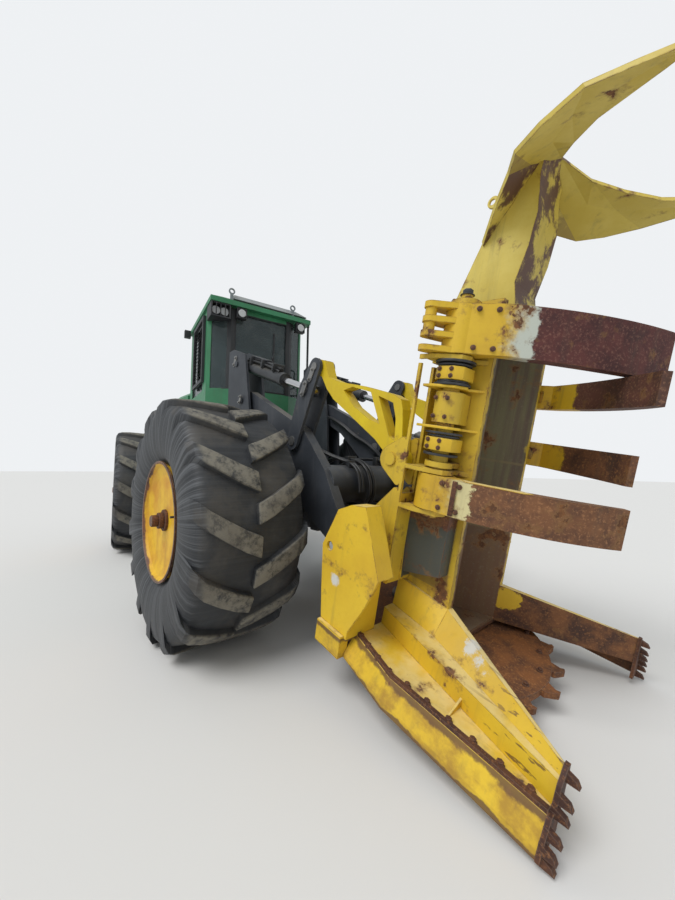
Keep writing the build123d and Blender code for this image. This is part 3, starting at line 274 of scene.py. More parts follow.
def rustFinish(name, space=None, **changes):
    look = {**rustLook, **changes}
    place = startFinish(name, space)
    colour, coarse, speckle = rustColour(place, look)
    streak = patchesOf(place, 1.0, 5, 0.5, 0.8, 0.4, stretch=(15.0, 15.0, 2.0))
    colour = mixOf(streak, colour, look["dark"])
    colour = mixOf(times(edgeOf(0.006), 0.45), colour, look["edge"])
    bump = bumpOf(plus(coarse, times(speckle, 0.6)), 0.45, 0.004)
    inputs = {"Metallic": fadeOf(coarse, 0.2, 0.9, 0.35), "Normal": bump}
    return endFinish(colour, plus(0.62, times(speckle, 0.25)), inputs)


def dullFinish(name, base, light, rough=0.6, scale=24.0, metal=0.0, bump=0.15):
    # rubber, plastic and plain steel: a mottled colour with finer grain
    place = startFinish(name)
    fine = noiseOf(place, scale * 4, 4, 0.7)
    colour = mixOf(patchesOf(place, scale * 0.25, 5, 0.35, 0.7, 0.8), base, light)
    colour = mixOf(times(edgeOf(0.004), 0.5), colour, light)
    inputs = {"Metallic": metal, "Normal": bumpOf(fine, bump, 0.001)}
    return endFinish(colour, plus(rough - 0.08, times(fine, 0.18)), inputs)


def glassFinish(name, tint, clear=0.75, rough=0.02):
    smear = noiseOf(startFinish(name), 5.0, 6)
    colour = mixOf(fadeOf(smear, 0.45, 0.8, 0.35), tint, (0.50, 0.52, 0.50))
    rough = plus(rough, fadeOf(smear, 0.5, 0.85, 0.14))
    return endFinish(colour, rough, {"Transmission Weight": clear, "IOR": 1.45})


def dress(material, *names):
    for name in names:
        mesh = cadNodes[name].data
        mesh.materials.clear()
        mesh.materials.append(material)


# finishes of the solids
troughLook = {
    "olive": (0.165, 0.145, 0.070), "brown": (0.115, 0.080, 0.055), "low": (0.155, 0.075, 0.036),
    "grain": (0.21, 0.16, 0.10), "weld": (0.20, 0.15, 0.07), "weldsAt": (0.760, 1.215),
    "box": (0.060, 0.066, 0.058), "boxRust": (0.135, 0.050, 0.028),
}


def troughZone(place, colour, rough):
    # stems have worn the hollow front of the tower to olive and brown steel
    look = troughLook
    x, y, z = axesOf(place)
    out = mathOf("ABSOLUTE", y)
    off = plus(out, wobbleOf(noiseOf(place, 9.0, 7), 0.09))
    inHollow = times(fadeOf(times(off, -1.0), -0.322, -0.306), fadeOf(x, -0.975, -0.965))
    down = patchesOf(place, 1.0, 7, 0.38, 0.66, stretch=(26.0, 26.0, 1.1))
    steel = mixOf(down, look["olive"], look["brown"])
    steel = mixOf(fadeOf(z, 1.25, 0.55, 0.8), steel, look["low"])
    steel = mixOf(patchesOf(place, 60.0, 3, 0.55, 0.72, 0.5), steel, look["grain"])
    for weld in look["weldsAt"]:
        gap = mathOf("ABSOLUTE", mathOf("SUBTRACT", z, weld))
        steel = mixOf(fadeOf(gap, 0.011, 0.004, 0.8), steel, look["weld"])
    # the box on each side is bare of yellow: grey below, rust along its top and in patches
    onBox = times(
        bandOf(out, 0.343, 0.347, 0.434, 0.440), bandOf(z, 0.455, 0.462, 0.932, 0.937),
        fadeOf(x, -0.770, -0.778))
    rusty, coarse, speckle = rustColour(place, {**rustLook, "mid": look["boxRust"]})
    ragged = plus(z, times(coarse, 0.16))
    patches = patchesOf(place, 3.3, 5, 0.50, 0.56)
    patched = mathOf("MAXIMUM", fadeOf(ragged, 0.905, 0.925), patches)
    colour = mixOf(onBox, colour, mixOf(patched, look["box"], rusty))
    return mixOf(inHollow, colour, steel), plus(rough, times(inHollow, 0.12))


def crownZone(place, colour, rough):
    # the neck's front is speckled with rust, its sides stay pale yellow
    facing = fadeOf(vectorOf("DOT_PRODUCT", normalOf(), (0.98, 0.0, -0.19)), 0.35, 0.75)
    patches = patchesOf(place, 4.5, 10, 0.44, 0.53, rough=0.7)
    return mixOf(times(facing, patches), colour, (0.115, 0.055, 0.035)), rough


shoeLook = {
    "deck": (0.78, 0.62, 0.26), "skirt": (0.30, 0.15, 0.022), "bare": (0.105, 0.048, 0.026),
    "scuff": (0.62, 0.61, 0.55), "scratch": (0.115, 0.052, 0.025), "bareRust": (0.200, 0.080, 0.028),
    "scuffs": (
        ((-1.215, -0.790, 0.430), 0.050), ((-0.520, -0.455, 0.320), 0.060),
        ((-0.455, -0.490, 0.300), 0.050), ((-0.400, -0.520, 0.285), 0.040)),
    "patchAt": (-0.700, 0.330, 0.300),
}


def shoeZone(place, colour, rough):
    look = shoeLook
    x, y, z = axesOf(place)
    upward = axesOf(normalOf())[2]
    deck = times(fadeOf(upward, 0.55, 0.9), patchesOf(place, 3.2, 8, 0.30, 0.55), 0.8)
    colour = mixOf(deck, colour, look["deck"])
    grain = noiseOf(place, 5.0, 9, 0.65)
    skirt = times(fadeOf(z, 0.150, 0.120), fadeOf(grain, 0.42, 0.60), 0.7)
    colour = mixOf(skirt, colour, look["skirt"])
    worn = plus(z, wobbleOf(grain, 0.10))
    underRail = times(fadeOf(worn, 0.118, 0.132), fadeOf(z, 0.1495, 0.1485))
    # dark brown along the bottom: the skid's brown steel, deepened by painted shadow under the shoe, and a bare band
    # under the rail
    bareAndShadedLow = mathOf("MAXIMUM", fadeOf(worn, 0.034, 0.026), underRail)
    colour = mixOf(times(bareAndShadedLow, 0.85), colour, look["bare"])
    # pale scuffs where something has scraped the column and the inner wall
    for spot, size in look["scuffs"]:
        ragged = times(noiseOf(place, 38.0, 6, 0.8), 0.075)
        away = plus(vectorOf("DISTANCE", place, spot), ragged)
        colour = mixOf(fadeOf(away, size + 0.030, size + 0.012), colour, look["scuff"])
    # long brown scratches towards the tip
    lines = patchesOf(place, 1.0, 4, 0.60, 0.64, rough=0.5, stretch=(4.0, 46.0, 46.0))
    scratch = times(lines, fadeOf(x, -0.52, -0.20), fadeOf(z, 0.14, 0.16), 0.8)
    return mixOf(scratch, colour, look["scratch"]), rough


def bareShoeZone(place, colour, rough):
    # the left shoe's inner wall has lost its paint, but for a patch at its root
    colour, rough = shoeZone(place, colour, rough)
    inward = fadeOf(axesOf(normalOf())[1], -0.35, -0.60)
    ragged = times(noiseOf(place, 9.0, 9, 0.7), 0.22)
    away = plus(vectorOf("DISTANCE", place, shoeLook["patchAt"]), ragged)
    bare = times(inward, fadeOf(away, 0.185, 0.200))
    rusty = rustColour(place, {**rustLook, "mid": shoeLook["bareRust"]})[0]
    return mixOf(bare, colour, rusty), plus(rough, times(bare, 0.2))


def cabZone(place, colour, rough):
    # the slim posts beside the windscreen are black
    x, y, z = axesOf(place)
    out = mathOf("ABSOLUTE", y)
    post = times(
        bandOf(out, 0.318, 0.321, 0.449, 0.452), fadeOf(x, -1.130, -1.125),
        bandOf(z, 2.190, 2.195, 3.146, 3.149))
    return mixOf(post, colour, (0.020, 0.022, 0.024)), rough


postAt = (-0.890, 0.450)
armPaint = ((0.66, 0.43, 0.020), (0.55, 0.33, 0.02))


def armFinish(name, side, reach, fade, patch, **rust):
    # painted at the root, rusty from a reach outwards, with a ragged edge between
    def zone(place, colour, rough):
        x, y, z = axesOf(place)
        a = plus(x, -postAt[0])
        b = plus(y, -postAt[1] * side)
        far = mathOf("SQRT", plus(times(a, a), times(b, b)))
        far = plus(far, wobbleOf(noiseOf(place, 7.0, 9, 0.7), 0.26))
        rusty = rustColour(place, {**rustLook, **rust})[0]
        if patch:
            colour = mixOf(fadeOf(far, reach - 0.12, reach - 0.03), colour, patch)
        mask = fadeOf(far, reach, reach + fade)
        return mixOf(mask, colour, rusty), plus(rough, times(mask, 0.15))

    return paintFinish(name, *armPaint, zone, headSpace, chipFrom=0.60, edgeWear=0.95, dustAmount=0.12)


wheelPlaces = {
    "front_right": (frontSpace, (0, -1.084, 0.9)), "front_left": (frontSpace, (0, 1.084, 0.9)),
    "rear_right": (rearSpace, (-3.3, -1.084, 0.9)), "rear_left": (rearSpace, (-3.3, 1.084, 0.9)),
}


def startWheelFinish(name, space, centre):
    place = startFinish(name, space @ Matrix.Translation(centre))
    x, y, z = axesOf(place)
    flat = addNode("CombineXYZ", {"X": x, "Z": z}).outputs[0]
    radius = addNode("VectorMath", {0: flat}, operation="LENGTH")
    return place, y, radius.outputs["Value"], flat


tyreLook = {
    "rubber": (0.020, 0.022, 0.025), "grey": (0.105, 0.110, 0.118), "cloud": (0.050, 0.054, 0.060),
    "dust": (0.200, 0.185, 0.150), "soil": (0.115, 0.100, 0.080), "lugFrom": 0.876, "lugTo": 0.8925,
}


def tyreFinish(name, space, centre):
    place, across, radius, flat = startWheelFinish(name, space, centre)
    spokes = addNode("VectorMath", {0: flat}, operation="NORMALIZE")
    streak = noiseOf(spokes.outputs[0], 34.0, 9, 0.78)
    onWall = fadeOf(mathOf("ABSOLUTE", across), 0.300, 0.350, 0.75)
    streaked = times(fadeOf(streak, 0.46, 0.60), plus(onWall, 0.12))
    colour = mixOf(streaked, tyreLook["rubber"], tyreLook["grey"])
    cloudy = patchesOf(place, 4.0, 8, 0.50, 0.72, 0.55, rough=0.7)
    colour = mixOf(cloudy, colour, tyreLook["cloud"])
    patches = patchesOf(place, 16.0, 10, 0.34, 0.58, 0.95, rough=0.75)
    onLug = times(fadeOf(radius, tyreLook["lugFrom"], tyreLook["lugTo"]), patches)
    colour = mixOf(onLug, colour, tyreLook["dust"])
    between = times(fadeOf(radius, 0.80, 0.845, 0.35), patchesOf(place, 3.0, 6, 0.45, 0.65))
    colour = mixOf(between, colour, tyreLook["soil"])
    scuffs = noiseOf(place, 90.0, 5, 0.7)
    bump = bumpOf(plus(scuffs, times(streak, 0.8)), 0.35, 0.003)
    return endFinish(colour, plus(0.62, times(onLug, 0.25)), {"Normal": bump})


rimLook = {
    "paint": (0.72, 0.44, 0.010), "shade": (0.56, 0.26, 0.012), "drip": (0.36, 0.15, 0.015),
    "edge": (0.55, 0.50, 0.42),
}


def rimFinish(name, space, centre):
    place, across, radius, flat = startWheelFinish(name, space, centre)
    tone = noiseOf(place, 6.0, 7)
    colour = mixOf(fadeOf(tone, 0.35, 0.70), rimLook["paint"], rimLook["shade"])
    drip = patchesOf(place, 1.0, 6, 0.48, 0.75, 0.5, stretch=(14.0, 14.0, 1.2))
    colour = mixOf(drip, colour, rimLook["drip"])
    ragged = plus(radius, wobbleOf(tone, 0.05))
    rusty, coarse, speckle = rustColour(place, rustLook)
    for bare, painted in ((0.404, 0.412), (0.075, 0.055)):
        colour = mixOf(fadeOf(ragged, bare, painted), colour, rusty)
    colour = mixOf(times(edgeOf(0.006), 0.5), colour, rimLook["edge"])
    return endFinish(colour, plus(0.40, times(tone, 0.25)), {"Normal": bumpOf(speckle, 0.18, 0.002)})


shoeYellow = ((0.72, 0.48, 0.025), (0.62, 0.38, 0.02))
dullPaint = {
    "chipFrom": 0.67, "bare": (0.10, 0.09, 0.085), "bareLight": (0.21, 0.21, 0.21), "stain": 0.25,
    "stainColour": (0.10, 0.08, 0.06), "edgeWear": 0.6, "streakColour": (0.13, 0.13, 0.13),
    "dustAmount": 0.28, "rough": 0.44,
}
# place and shape of each arm, where its rust starts and fades, a paint patch before it, the rust's colours
arms = {
    "right_upper_arm": {
        "side": -1, "tip": (-0.150, 0.300), "band": (1.765, 2.015), "bow": 0.138,
        "finish": ("upperRightArm", -1, 0.335, 0.02, (0.50, 0.53, 0.46)),
        "rust": {"dark": (0.050, 0.012, 0.012), "mid": (0.100, 0.024, 0.020), "light": (0.22, 0.10, 0.07)}},
    "right_lower_arm": {
        "side": -1, "tip": (-0.115, -0.070), "band": (0.935, 1.125), "bow": 0.150,
        "finish": ("lowerRightArm", -1, 0.235, 0.015, (0.62, 0.55, 0.28)),
        "rust": {"dark": (0.085, 0.034, 0.017), "mid": (0.190, 0.078, 0.030), "light": (0.36, 0.17, 0.07)}},
    "left_upper_arm": {
        "side": 1, "tip": (-0.084, -0.087), "band": (1.600, 1.755), "bow": 0.150,
        "finish": ("upperLeftArm", 1, 0.40, 0.03, None),
        "rust": {"mid": (0.115, 0.042, 0.028), "light": (0.26, 0.13, 0.07)}},
    "left_lower_arm": {
        "side": 1, "tip": (-0.160, 0.140), "band": (1.215, 1.375), "bow": 0.138,
        "finish": ("lowerLeftArm", 1, 0.33, 0.04, None), "rust": {}},
}


def dressHead():
    dress(paintFinish(
        "towerPaint", (0.62, 0.43, 0.030), (0.52, 0.34, 0.03), troughZone, headSpace,
        chipFrom=0.60, edgeWear=1.0, streaks=0.45), "felling_tower")
    dress(paintFinish(
        "crownPaint", (0.66, 0.53, 0.12), (0.56, 0.42, 0.06), crownZone, headSpace,
        chipFrom=0.64, edgeWear=0.95), "tower_crown")
    dress(paintFinish(
        "shoePaint", *shoeYellow, shoeZone, headSpace, chipFrom=0.635, edgeWear=0.85, dustAmount=0.2), "right_shoe")
    dress(paintFinish(
        "bareShoePaint", *shoeYellow, bareShoeZone, headSpace, chipFrom=0.62, edgeWear=0.95, dustAmount=0.2),
        "left_shoe")
    dress(paintFinish(
        "trussPaint", (0.72, 0.55, 0.010), (0.60, 0.42, 0.010), chipFrom=0.68, edgeWear=0.5, streaks=0.2),
        "truss_links")
    for name, arm in arms.items():
        dress(armFinish(*arm["finish"], **arm["rust"]), name)
    dress(rustFinish(
        "discRust", headSpace, dark=(0.095, 0.038, 0.018), mid=(0.250, 0.095, 0.030), light=(0.42, 0.19, 0.06)),
        "saw_disc")
    dress(rustFinish("deckRust", headSpace), "saw_deck")
    dress(rustFinish("ironRust", headSpace, dark=(0.050, 0.020, 0.014), mid=(0.120, 0.048, 0.024)), "tooth_plates")


def dressMachine():
    dress(paintFinish(
        "greyPaint", (0.026, 0.030, 0.038), (0.048, 0.054, 0.064), space=frontSpace, **dullPaint),
        "front_frame", "lift_arms", "tilt_levers", "front_axle")
    dress(paintFinish(
        "blackPaint", (0.018, 0.020, 0.023), (0.035, 0.037, 0.040), space=rearSpace, **dullPaint),
        "rear_frame", "rear_axle", "rear_grille", "saw_motor", "cab_screens", "lamp_guard", "cab_grab_rail",
        "engine_block", "exhaust_stack")
    dress(paintFinish(
        "barrelPaint", (0.016, 0.018, 0.021), (0.040, 0.043, 0.048), **{**dullPaint, "rough": 0.34}),
        "tilt_barrels", "lift_barrels", "steer_barrel_left", "steer_barrel_right")
    dress(paintFinish(
        "greenPaint", (0.040, 0.235, 0.105), (0.030, 0.165, 0.072), cabZone, rearSpace, chipFrom=0.70, edgeWear=0.35,
        rough=0.36, stain=0.3, streaks=0.18, dustAmount=0.55, dust=(0.24, 0.33, 0.25)),
        "cab_frame", "cab_door", "cab_roof", "hood")
    dress(paintFinish(
        "hatchPaint", (0.26, 0.29, 0.30), (0.18, 0.21, 0.22), space=rearSpace,
        chipFrom=0.72, edgeWear=0.3, streaks=0.4), "roof_hatch")
    dress(dullFinish("chromeRod", (0.62, 0.62, 0.63), (0.75, 0.75, 0.76), 0.20, metal=1.0, bump=0.03),
          "tilt_rods", "lift_rods", "steer_rod_left", "steer_rod_right")
    dress(dullFinish("pinSteel", (0.20, 0.20, 0.20), (0.36, 0.35, 0.33), 0.45, metal=0.8),
          "head_pivot_pins", "lever_pivot_pins", "link_pivot_pins", "tilt_pistons")
    dress(dullFinish("seatPlastic", (0.020, 0.020, 0.022), (0.035, 0.035, 0.037), 0.7), "cab_seat")
    dress(dullFinish("lampBody", (0.015, 0.015, 0.017), (0.035, 0.035, 0.038), 0.5), "work_lamps")
    dress(glassFinish("cabGlass", (0.10, 0.14, 0.145), 0.66), "cab_glass", "door_glass")
    dullFinish("hoseRubber", (0.014, 0.014, 0.015), (0.045, 0.046, 0.048), 0.34, bump=0.08)
    dullFinish("seatCloth", (0.030, 0.031, 0.034), (0.062, 0.062, 0.066), 0.9, scale=60, bump=0.6)
    glassFinish("lampLens", (0.80, 0.82, 0.82), 0.35, 0.10)
    glassFinish("redLens", (0.45, 0.02, 0.015), 0.20, 0.12)
    for name, (space, centre) in wheelPlaces.items():
        dress(tyreFinish(name + "Rubber", space, centre), name + "_tyre")
        dress(rimFinish(name + "Rim", space, centre), name + "_rim")


dressHead()
dressMachine()
undressed = [n for n in cadNodes if not cadNodes[n].data.materials or not cadNodes[n].data.materials[0].use_nodes]
print("solids dressed, left plain:", undressed)


# tools for the pieces, each used as by hand
bodySpaces = {
    "front_frame": frontSpace, "lift_arms": frontSpace, "tilt_levers": frontSpace, "tilt_barrels": frontSpace,
    "rear_frame": rearSpace, "cab_door": rearSpace, "head": headSpace, "saw_disc": headSpace,
}


def activate(piece):
    if bpy.context.object and bpy.context.object.mode != "OBJECT":
        bpy.ops.object.mode_set(mode="OBJECT")
    bpy.ops.object.select_all(action="DESELECT")
    piece.select_set(True)
    bpy.context.view_layer.objects.active = piece


def editOn(piece):
    activate(piece)
    bpy.ops.object.mode_set(mode="EDIT")
    bpy.ops.mesh.select_mode(type="VERT")
    bpy.ops.mesh.select_all(action="SELECT")


def editOff():
    bpy.ops.object.mode_set(mode="OBJECT")


def settle(piece, location=True, rotation=True):
    activate(piece)
    bpy.ops.object.transform_apply(location=location, rotation=rotation, scale=True)


def modify(piece, kind, **settings):
    modifier = piece.modifiers.new(kind.lower(), kind)
    for key, value in settings.items():
        setattr(modifier, key, value)
    activate(piece)
    bpy.ops.object.modifier_apply(modifier=modifier.name)


def pickFaces(piece, test):
    bpy.ops.mesh.select_mode(type="FACE")
    bpy.ops.mesh.select_all(action="DESELECT")
    work = bmesh.from_edit_mesh(piece.data)
    for face in work.faces:
        face.select_set(bool(test(face.normal, face.calc_center_median())))
    bmesh.update_edit_mesh(piece.data)


def startPiece(add, **how):
    activate(next(iter(cadNodes.values())))
    bpy.ops.object.select_all(action="DESELECT")
    add(**how)
    return bpy.context.object


def makePlate(outline, low, high, axes="XYZ"):
    # a flat plate from its outline: axes says where the outline's two directions and the thickness lie
    piece = startPiece(bpy.ops.mesh.primitive_circle_add, vertices=len(outline), fill_type="NGON")
    for vertex, (u, v) in zip(piece.data.vertices, outline):
        for axis, value in zip(axes, (u, v, low)):
            vertex.co["XYZ".index(axis)] = value
    step = [0, 0, 0]
    step["XYZ".index(axes[2])] = high - low
    editOn(piece)
    bpy.ops.mesh.extrude_region_move(TRANSFORM_OT_translate={"value": step})
    editOff()
    return piece


def makeBox(low, high):
    middle = [(a + b) / 2 for a, b in zip(low, high)]
    piece = startPiece(bpy.ops.mesh.primitive_cube_add, size=1, location=middle)
    piece.scale = [b - a for a, b in zip(low, high)]
    settle(piece, location=False, rotation=False)
    return piece


def makeBlock(low, high, crown=0.0):
    piece = makeBox(low, high)
    editOn(piece)
    pickFaces(piece, lambda normal, middle: normal.z > 0.9)
    bpy.ops.mesh.inset(thickness=min(piece.dimensions.x, piece.dimensions.y) * 0.12)
    bpy.ops.transform.translate(value=(0, 0, crown))
    editOff()
    return piece


def makeBlocks(pairs, crown=0.0):
    return [makeBlock(low, high, crown) for low, high in pairs]


def makeBar(start, end, radius, facets=20):
    way = Vector(end) - Vector(start)
    piece = startPiece(
        bpy.ops.mesh.primitive_cylinder_add, vertices=facets, radius=radius, depth=way.length,
        location=(Vector(start) + Vector(end)) / 2, rotation=way.to_track_quat("Z", "Y").to_euler())
    editOn(piece)
    pickFaces(piece, lambda normal, middle: abs(normal.z) > 0.9)
    bpy.ops.mesh.inset(thickness=radius * 0.25, use_individual=True)
    editOff()
    return piece


def makeHose(points, radius):
    curve = bpy.data.curves.new("hoseLine", "CURVE")
    curve.dimensions = "3D"
    curve.bevel_depth = radius
    curve.bevel_resolution = 3
    curve.use_fill_caps = True
    line = curve.splines.new("NURBS")
    line.points.add(len(points) - 1)
    for point, place in zip(line.points, points):
        point.co = (*place, 1)
    line.order_u = 3
    line.use_endpoint_u = True
    piece = bpy.data.objects.new("hose", curve)
    bpy.context.scene.collection.objects.link(piece)
    activate(piece)
    bpy.ops.object.convert(target="MESH")
    return bpy.context.object


def makeBolt(radius, height):
    washer = startPiece(
        bpy.ops.mesh.primitive_cylinder_add, vertices=14, radius=radius * 1.4, depth=0.004, location=(0, 0, 0.002))
    head = startPiece(
        bpy.ops.mesh.primitive_cylinder_add, vertices=6, radius=radius, depth=height,
        location=(0, 0, height / 2 + 0.003))
    editOn(head)
    pickFaces(head, lambda normal, middle: normal.z > 0.9)
    bpy.ops.mesh.inset(thickness=radius * 0.16)
    bpy.ops.transform.translate(value=(0, 0, radius * 0.12))
    editOff()
    return joinAll([head, washer])


def joinAll(parts):
    activate(parts[0])
    for part in parts:
        part.select_set(True)
    bpy.ops.object.join()
    return bpy.context.object


def standAt(point, normal=(0, 0, 1), turn=0.0):
    facing = Vector(normal).to_track_quat("Z", "Y").to_matrix().to_4x4()
    return Matrix.Translation(point) @ facing @ Matrix.Rotation(turn, 4, "Z")


def copyAt(model, place):
    activate(model)
    bpy.ops.object.duplicate(linked=False)
    bpy.context.object.matrix_world = place
    return bpy.context.object


def copyTo(model, places):
    settle(model)
    parts = [copyAt(model, place) for place in places]
    bpy.data.objects.remove(model)
    return joinAll(parts)


def outwardNormals(piece, merge=None):
    editOn(piece)
    if merge:
        bpy.ops.mesh.remove_doubles(threshold=merge)
    bpy.ops.mesh.normals_make_consistent(inside=False)
    editOff()


def closePiece(parts, name, body, look, bevel=0.002, smooth=32, space=None):
    piece = joinAll(parts) if isinstance(parts, list) else parts
    piece.matrix_world = (space or bodySpaces[body]) @ piece.matrix_world
    settle(piece)
    outwardNormals(piece, 0.00005)
    if bevel:
        modify(piece, "BEVEL", width=bevel, segments=2, limit_method="ANGLE", angle_limit=math.radians(40))
    bpy.ops.object.shade_smooth_by_angle(angle=math.radians(smooth))
    piece.name = name
    piece.data.materials.clear()
    piece.data.materials.append(looks[look])
    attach(piece, body)
    return piece


def fitBolts(name, body, radius, height, spots, space=None):
    closePiece(copyTo(makeBolt(radius, height), spots), name, body, "ironRust", 0.001, space=space)


# tyres with their bar tread
tyreShape = {
    "lugs": 14, "steps": 84, "lugDeep": 0.135, "lugWorn": 0.010, "firstBar": 5.143,
    # across and radius, from the bead to the middle
    "wall": (
        (0.310, 0.4095), (0.327, 0.436), (0.350, 0.470), (0.371, 0.520), (0.382, 0.600), (0.384, 0.670),
        (0.378, 0.740), (0.362, 0.800), (0.334, 0.834), (0.270, 0.846), (0.140, 0.851), (0.0, 0.852)),
    # across, top radius, turn from the last row, width
    "lugRows": (
        (0.3835, 0.780, 0.0, 0.105), (0.378, 0.828, 1.0, 0.112), (0.352, 0.874, 2.0, 0.118),
        (0.305, 0.890, 3.0, 0.122), (0.200, 0.8965, 4.4, 0.126), (0.090, 0.8975, 4.2, 0.130),
        (-0.012, 0.8975, 3.0, 0.130)),
}


def turnAbout(degrees):
    # with no window this operator turns the other way
    bpy.ops.transform.rotate(
        value=math.radians(-degrees), orient_axis="Y", orient_type="GLOBAL", center_override=(0, 0, 0))


def makeLug():
    rows = tyreShape["lugRows"]
    deep = tyreShape["lugDeep"]
    across, top, turn, width = rows[0]
    piece = startPiece(
        bpy.ops.mesh.primitive_plane_add, size=1, rotation=(math.radians(90), 0, 0), location=(0, 0, 0))
    settle(piece)
    editOn(piece)
    bpy.ops.transform.resize(value=(deep, 1, width), center_override=(0, 0, 0))
    bpy.ops.transform.translate(value=(top - deep / 2, across, 0))
    for last, row in zip(rows, rows[1:]):
        across, top, turn, width = row
        bpy.ops.mesh.extrude_region_move(TRANSFORM_OT_translate={"value": (top - last[1], across - last[0], 0)})
        bpy.ops.transform.resize(value=(1, 1, width / last[3]), center_override=(top - deep / 2, across, 0))
        bpy.ops.mesh.select_all(action="INVERT")
        turnAbout(-turn)
        bpy.ops.mesh.select_all(action="INVERT")
    bpy.ops.mesh.select_all(action="SELECT")
    bpy.ops.mesh.normals_make_consistent(inside=False)
    editOff()
    worn = tyreShape["lugWorn"]
    modify(piece, "BEVEL", width=worn, segments=2, limit_method="ANGLE", angle_limit=math.radians(50))
    return piece


def makeTyre():
    wall = tyreShape["wall"]
    outline = [(r, y) for y, r in wall] + [(r, -y) for y, r in wall[-2::-1]]
    carcass = startPiece(bpy.ops.mesh.primitive_circle_add, vertices=len(outline), fill_type="NOTHING")
    for vertex, (r, y) in zip(carcass.data.vertices, outline):
        vertex.co = (r, y, 0)
    editOn(carcass)
    bpy.ops.mesh.spin(steps=tyreShape["steps"], angle=2 * math.pi, center=(0, 0, 0), axis=(0, 1, 0))
    editOff()
    outwardNormals(carcass, 0.0002)
    step = 360 / tyreShape["lugs"]
    flip = Matrix.Scale(-1, 4, (0, 1, 0))
    bars = range(tyreShape["lugs"])
    places = [Matrix.Rotation(math.radians(-step * (i + 0.5)), 4, "Y") for i in bars]
    places += [Matrix.Rotation(math.radians(-step * i), 4, "Y") @ flip for i in bars]
    tread = copyTo(makeLug(), places)
    outwardNormals(tread)
    return joinAll([carcass, tread])


def fitTyres():
    model = makeTyre()
    firstBar = Matrix.Rotation(math.radians(tyreShape["firstBar"]), 4, "Y")
    for name, (space, centre) in wheelPlaces.items():
        # the bars point the same way on both sides, and stand where the solid's bars stand
        tyre = copyAt(model, space @ Matrix.Translation(centre) @ firstBar)
        closePiece(tyre, name + "_tread", name + "_wheel", name + "Rubber", 0, 40, Matrix.Identity(4))
        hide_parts(name + "_tyre")
    bpy.data.objects.remove(model)
    print("tyres fitted")


fitTyres()

# bolts and ribs along the shoes
shoeParts = {
    "bolt": (0.0145, 0.016), "deck": 0.150,
    "row": (
        (-1.035, 0.692), (-0.955, 0.715), (-0.86, 0.741), (-0.765, 0.764), (-0.66, 0.757), (-0.55, 0.757),
        (-0.44, 0.757), (-0.33, 0.757), (-0.22, 0.757), (-0.11, 0.757)),
    "rib": ((-0.52, 0.150), (-0.60, 0.150), (-0.52, 0.232)), "ribFrom": 0.574, "ribTo": 0.566,
    "cross": ((0.568, 0.150), (0.740, 0.150), (0.568, 0.215)), "crossAt": (-0.462, -0.450),
}


def fitShoes():
    for name, side in sides.items():
        spots = [standAt((a, side * b, shoeParts["deck"]), turn=a * 9) for a, b in shoeParts["row"]]
        fitBolts(name + "_rail_bolts", "head", *shoeParts["bolt"], spots)
        rib = makePlate(shoeParts["rib"], side * shoeParts["ribFrom"], side * shoeParts["ribTo"], "XZY")
        closePiece(rib, name + "_shoe_rib", "head", "shoePaint")
        cross = makePlate([(side * b, h) for b, h in shoeParts["cross"]], *shoeParts["crossAt"], "YZX")
        closePiece(cross, name + "_cross_rib", "head", "shoePaint")
    print("shoes fitted")


fitShoes()

# posts of the gathering arms: shelves, bearing blocks, rings and bolts
postParts = {
    "shelves": ((1.588, 1.602), (1.372, 1.386)), "blocks": ((1.632, 1.700), (1.255, 1.325)),
    "boltRows": ((1.632, 1.700), (1.255, 1.325), (1.42, 1.55)),
    "shelf": (
        (-1.004, -0.335), (-1.004, -0.552), (-0.945, -0.562), (-0.830, -0.520), (-0.795, -0.452),
        (-0.822, -0.395), (-0.752, -0.343), (-0.752, -0.335)),
    "block": (
        (-0.085, 0.06), (-0.085, -0.045), (-0.045, -0.085), (0.045, -0.085), (0.085, -0.045), (0.085, 0.06)),
    # low, high, radius
    "rings": (
        (1.722, 1.734, 0.104), (1.706, 1.716, 0.088), (1.604, 1.616, 0.096), (1.620, 1.630, 0.082),
        (1.345, 1.356, 0.098), (1.330, 1.340, 0.086), (1.228, 1.240, 0.092)),
    "tops": {-1: 2.079, 1: 1.819}, "screws": (0.6, 2.2, 3.9, 5.4), "screwRadius": 0.055,
}


def fitPosts():
    a, b = postAt
    rings = [makeBar((a, -b, low), (a, -b, high), radius, 28) for low, high, radius in postParts["rings"]]
    closePiece(rings, "right_post_rings", "head", "blackPaint", 0.0015)
    shelves = [makePlate(postParts["shelf"], low, high) for low, high in postParts["shelves"]]
    closePiece(shelves, "right_post_shelves", "head", "shoePaint")
    blocks = []
    for low, high in postParts["blocks"]:
        blocks.append(makePlate([(a + u, -b + v) for u, v in postParts["block"]], low, high))
        blocks.append(makeBlock((a - 0.06, -b + 0.05, low + 0.008), (a + 0.06, -0.343, high - 0.008)))
    closePiece(blocks, "right_post_blocks", "head", "shoePaint", 0.004)
    spots = []
    for low, high in postParts["boltRows"]:
        out = 0.085 if high - low < 0.1 else 0.076
        for h in (low + 0.016, high - 0.016):
            spots += [standAt((a + 0.035 * i, -b - out, h), (0, -1, 0)) for i in (-1, 1)]
    fitBolts("right_block_bolts", "head", 0.009, 0.009, spots)
    tops = postParts["tops"]
    caps = copyTo(makeBolt(0.027, 0.026), [standAt((a, side * b, tops[side])) for side in tops])
    closePiece(caps, "post_cap_bolts", "head", "blackPaint")
    dots = []
    for side, top in tops.items():
        for t in postParts["screws"]:
            along = a - 0.01 + postParts["screwRadius"] * math.cos(t)
            dots.append(standAt((along, side * b + postParts["screwRadius"] * math.sin(t), top - 0.034)))
    fitBolts("post_cap_screws", "head", 0.010, 0.009, dots)
    print("posts fitted")


fitPosts()

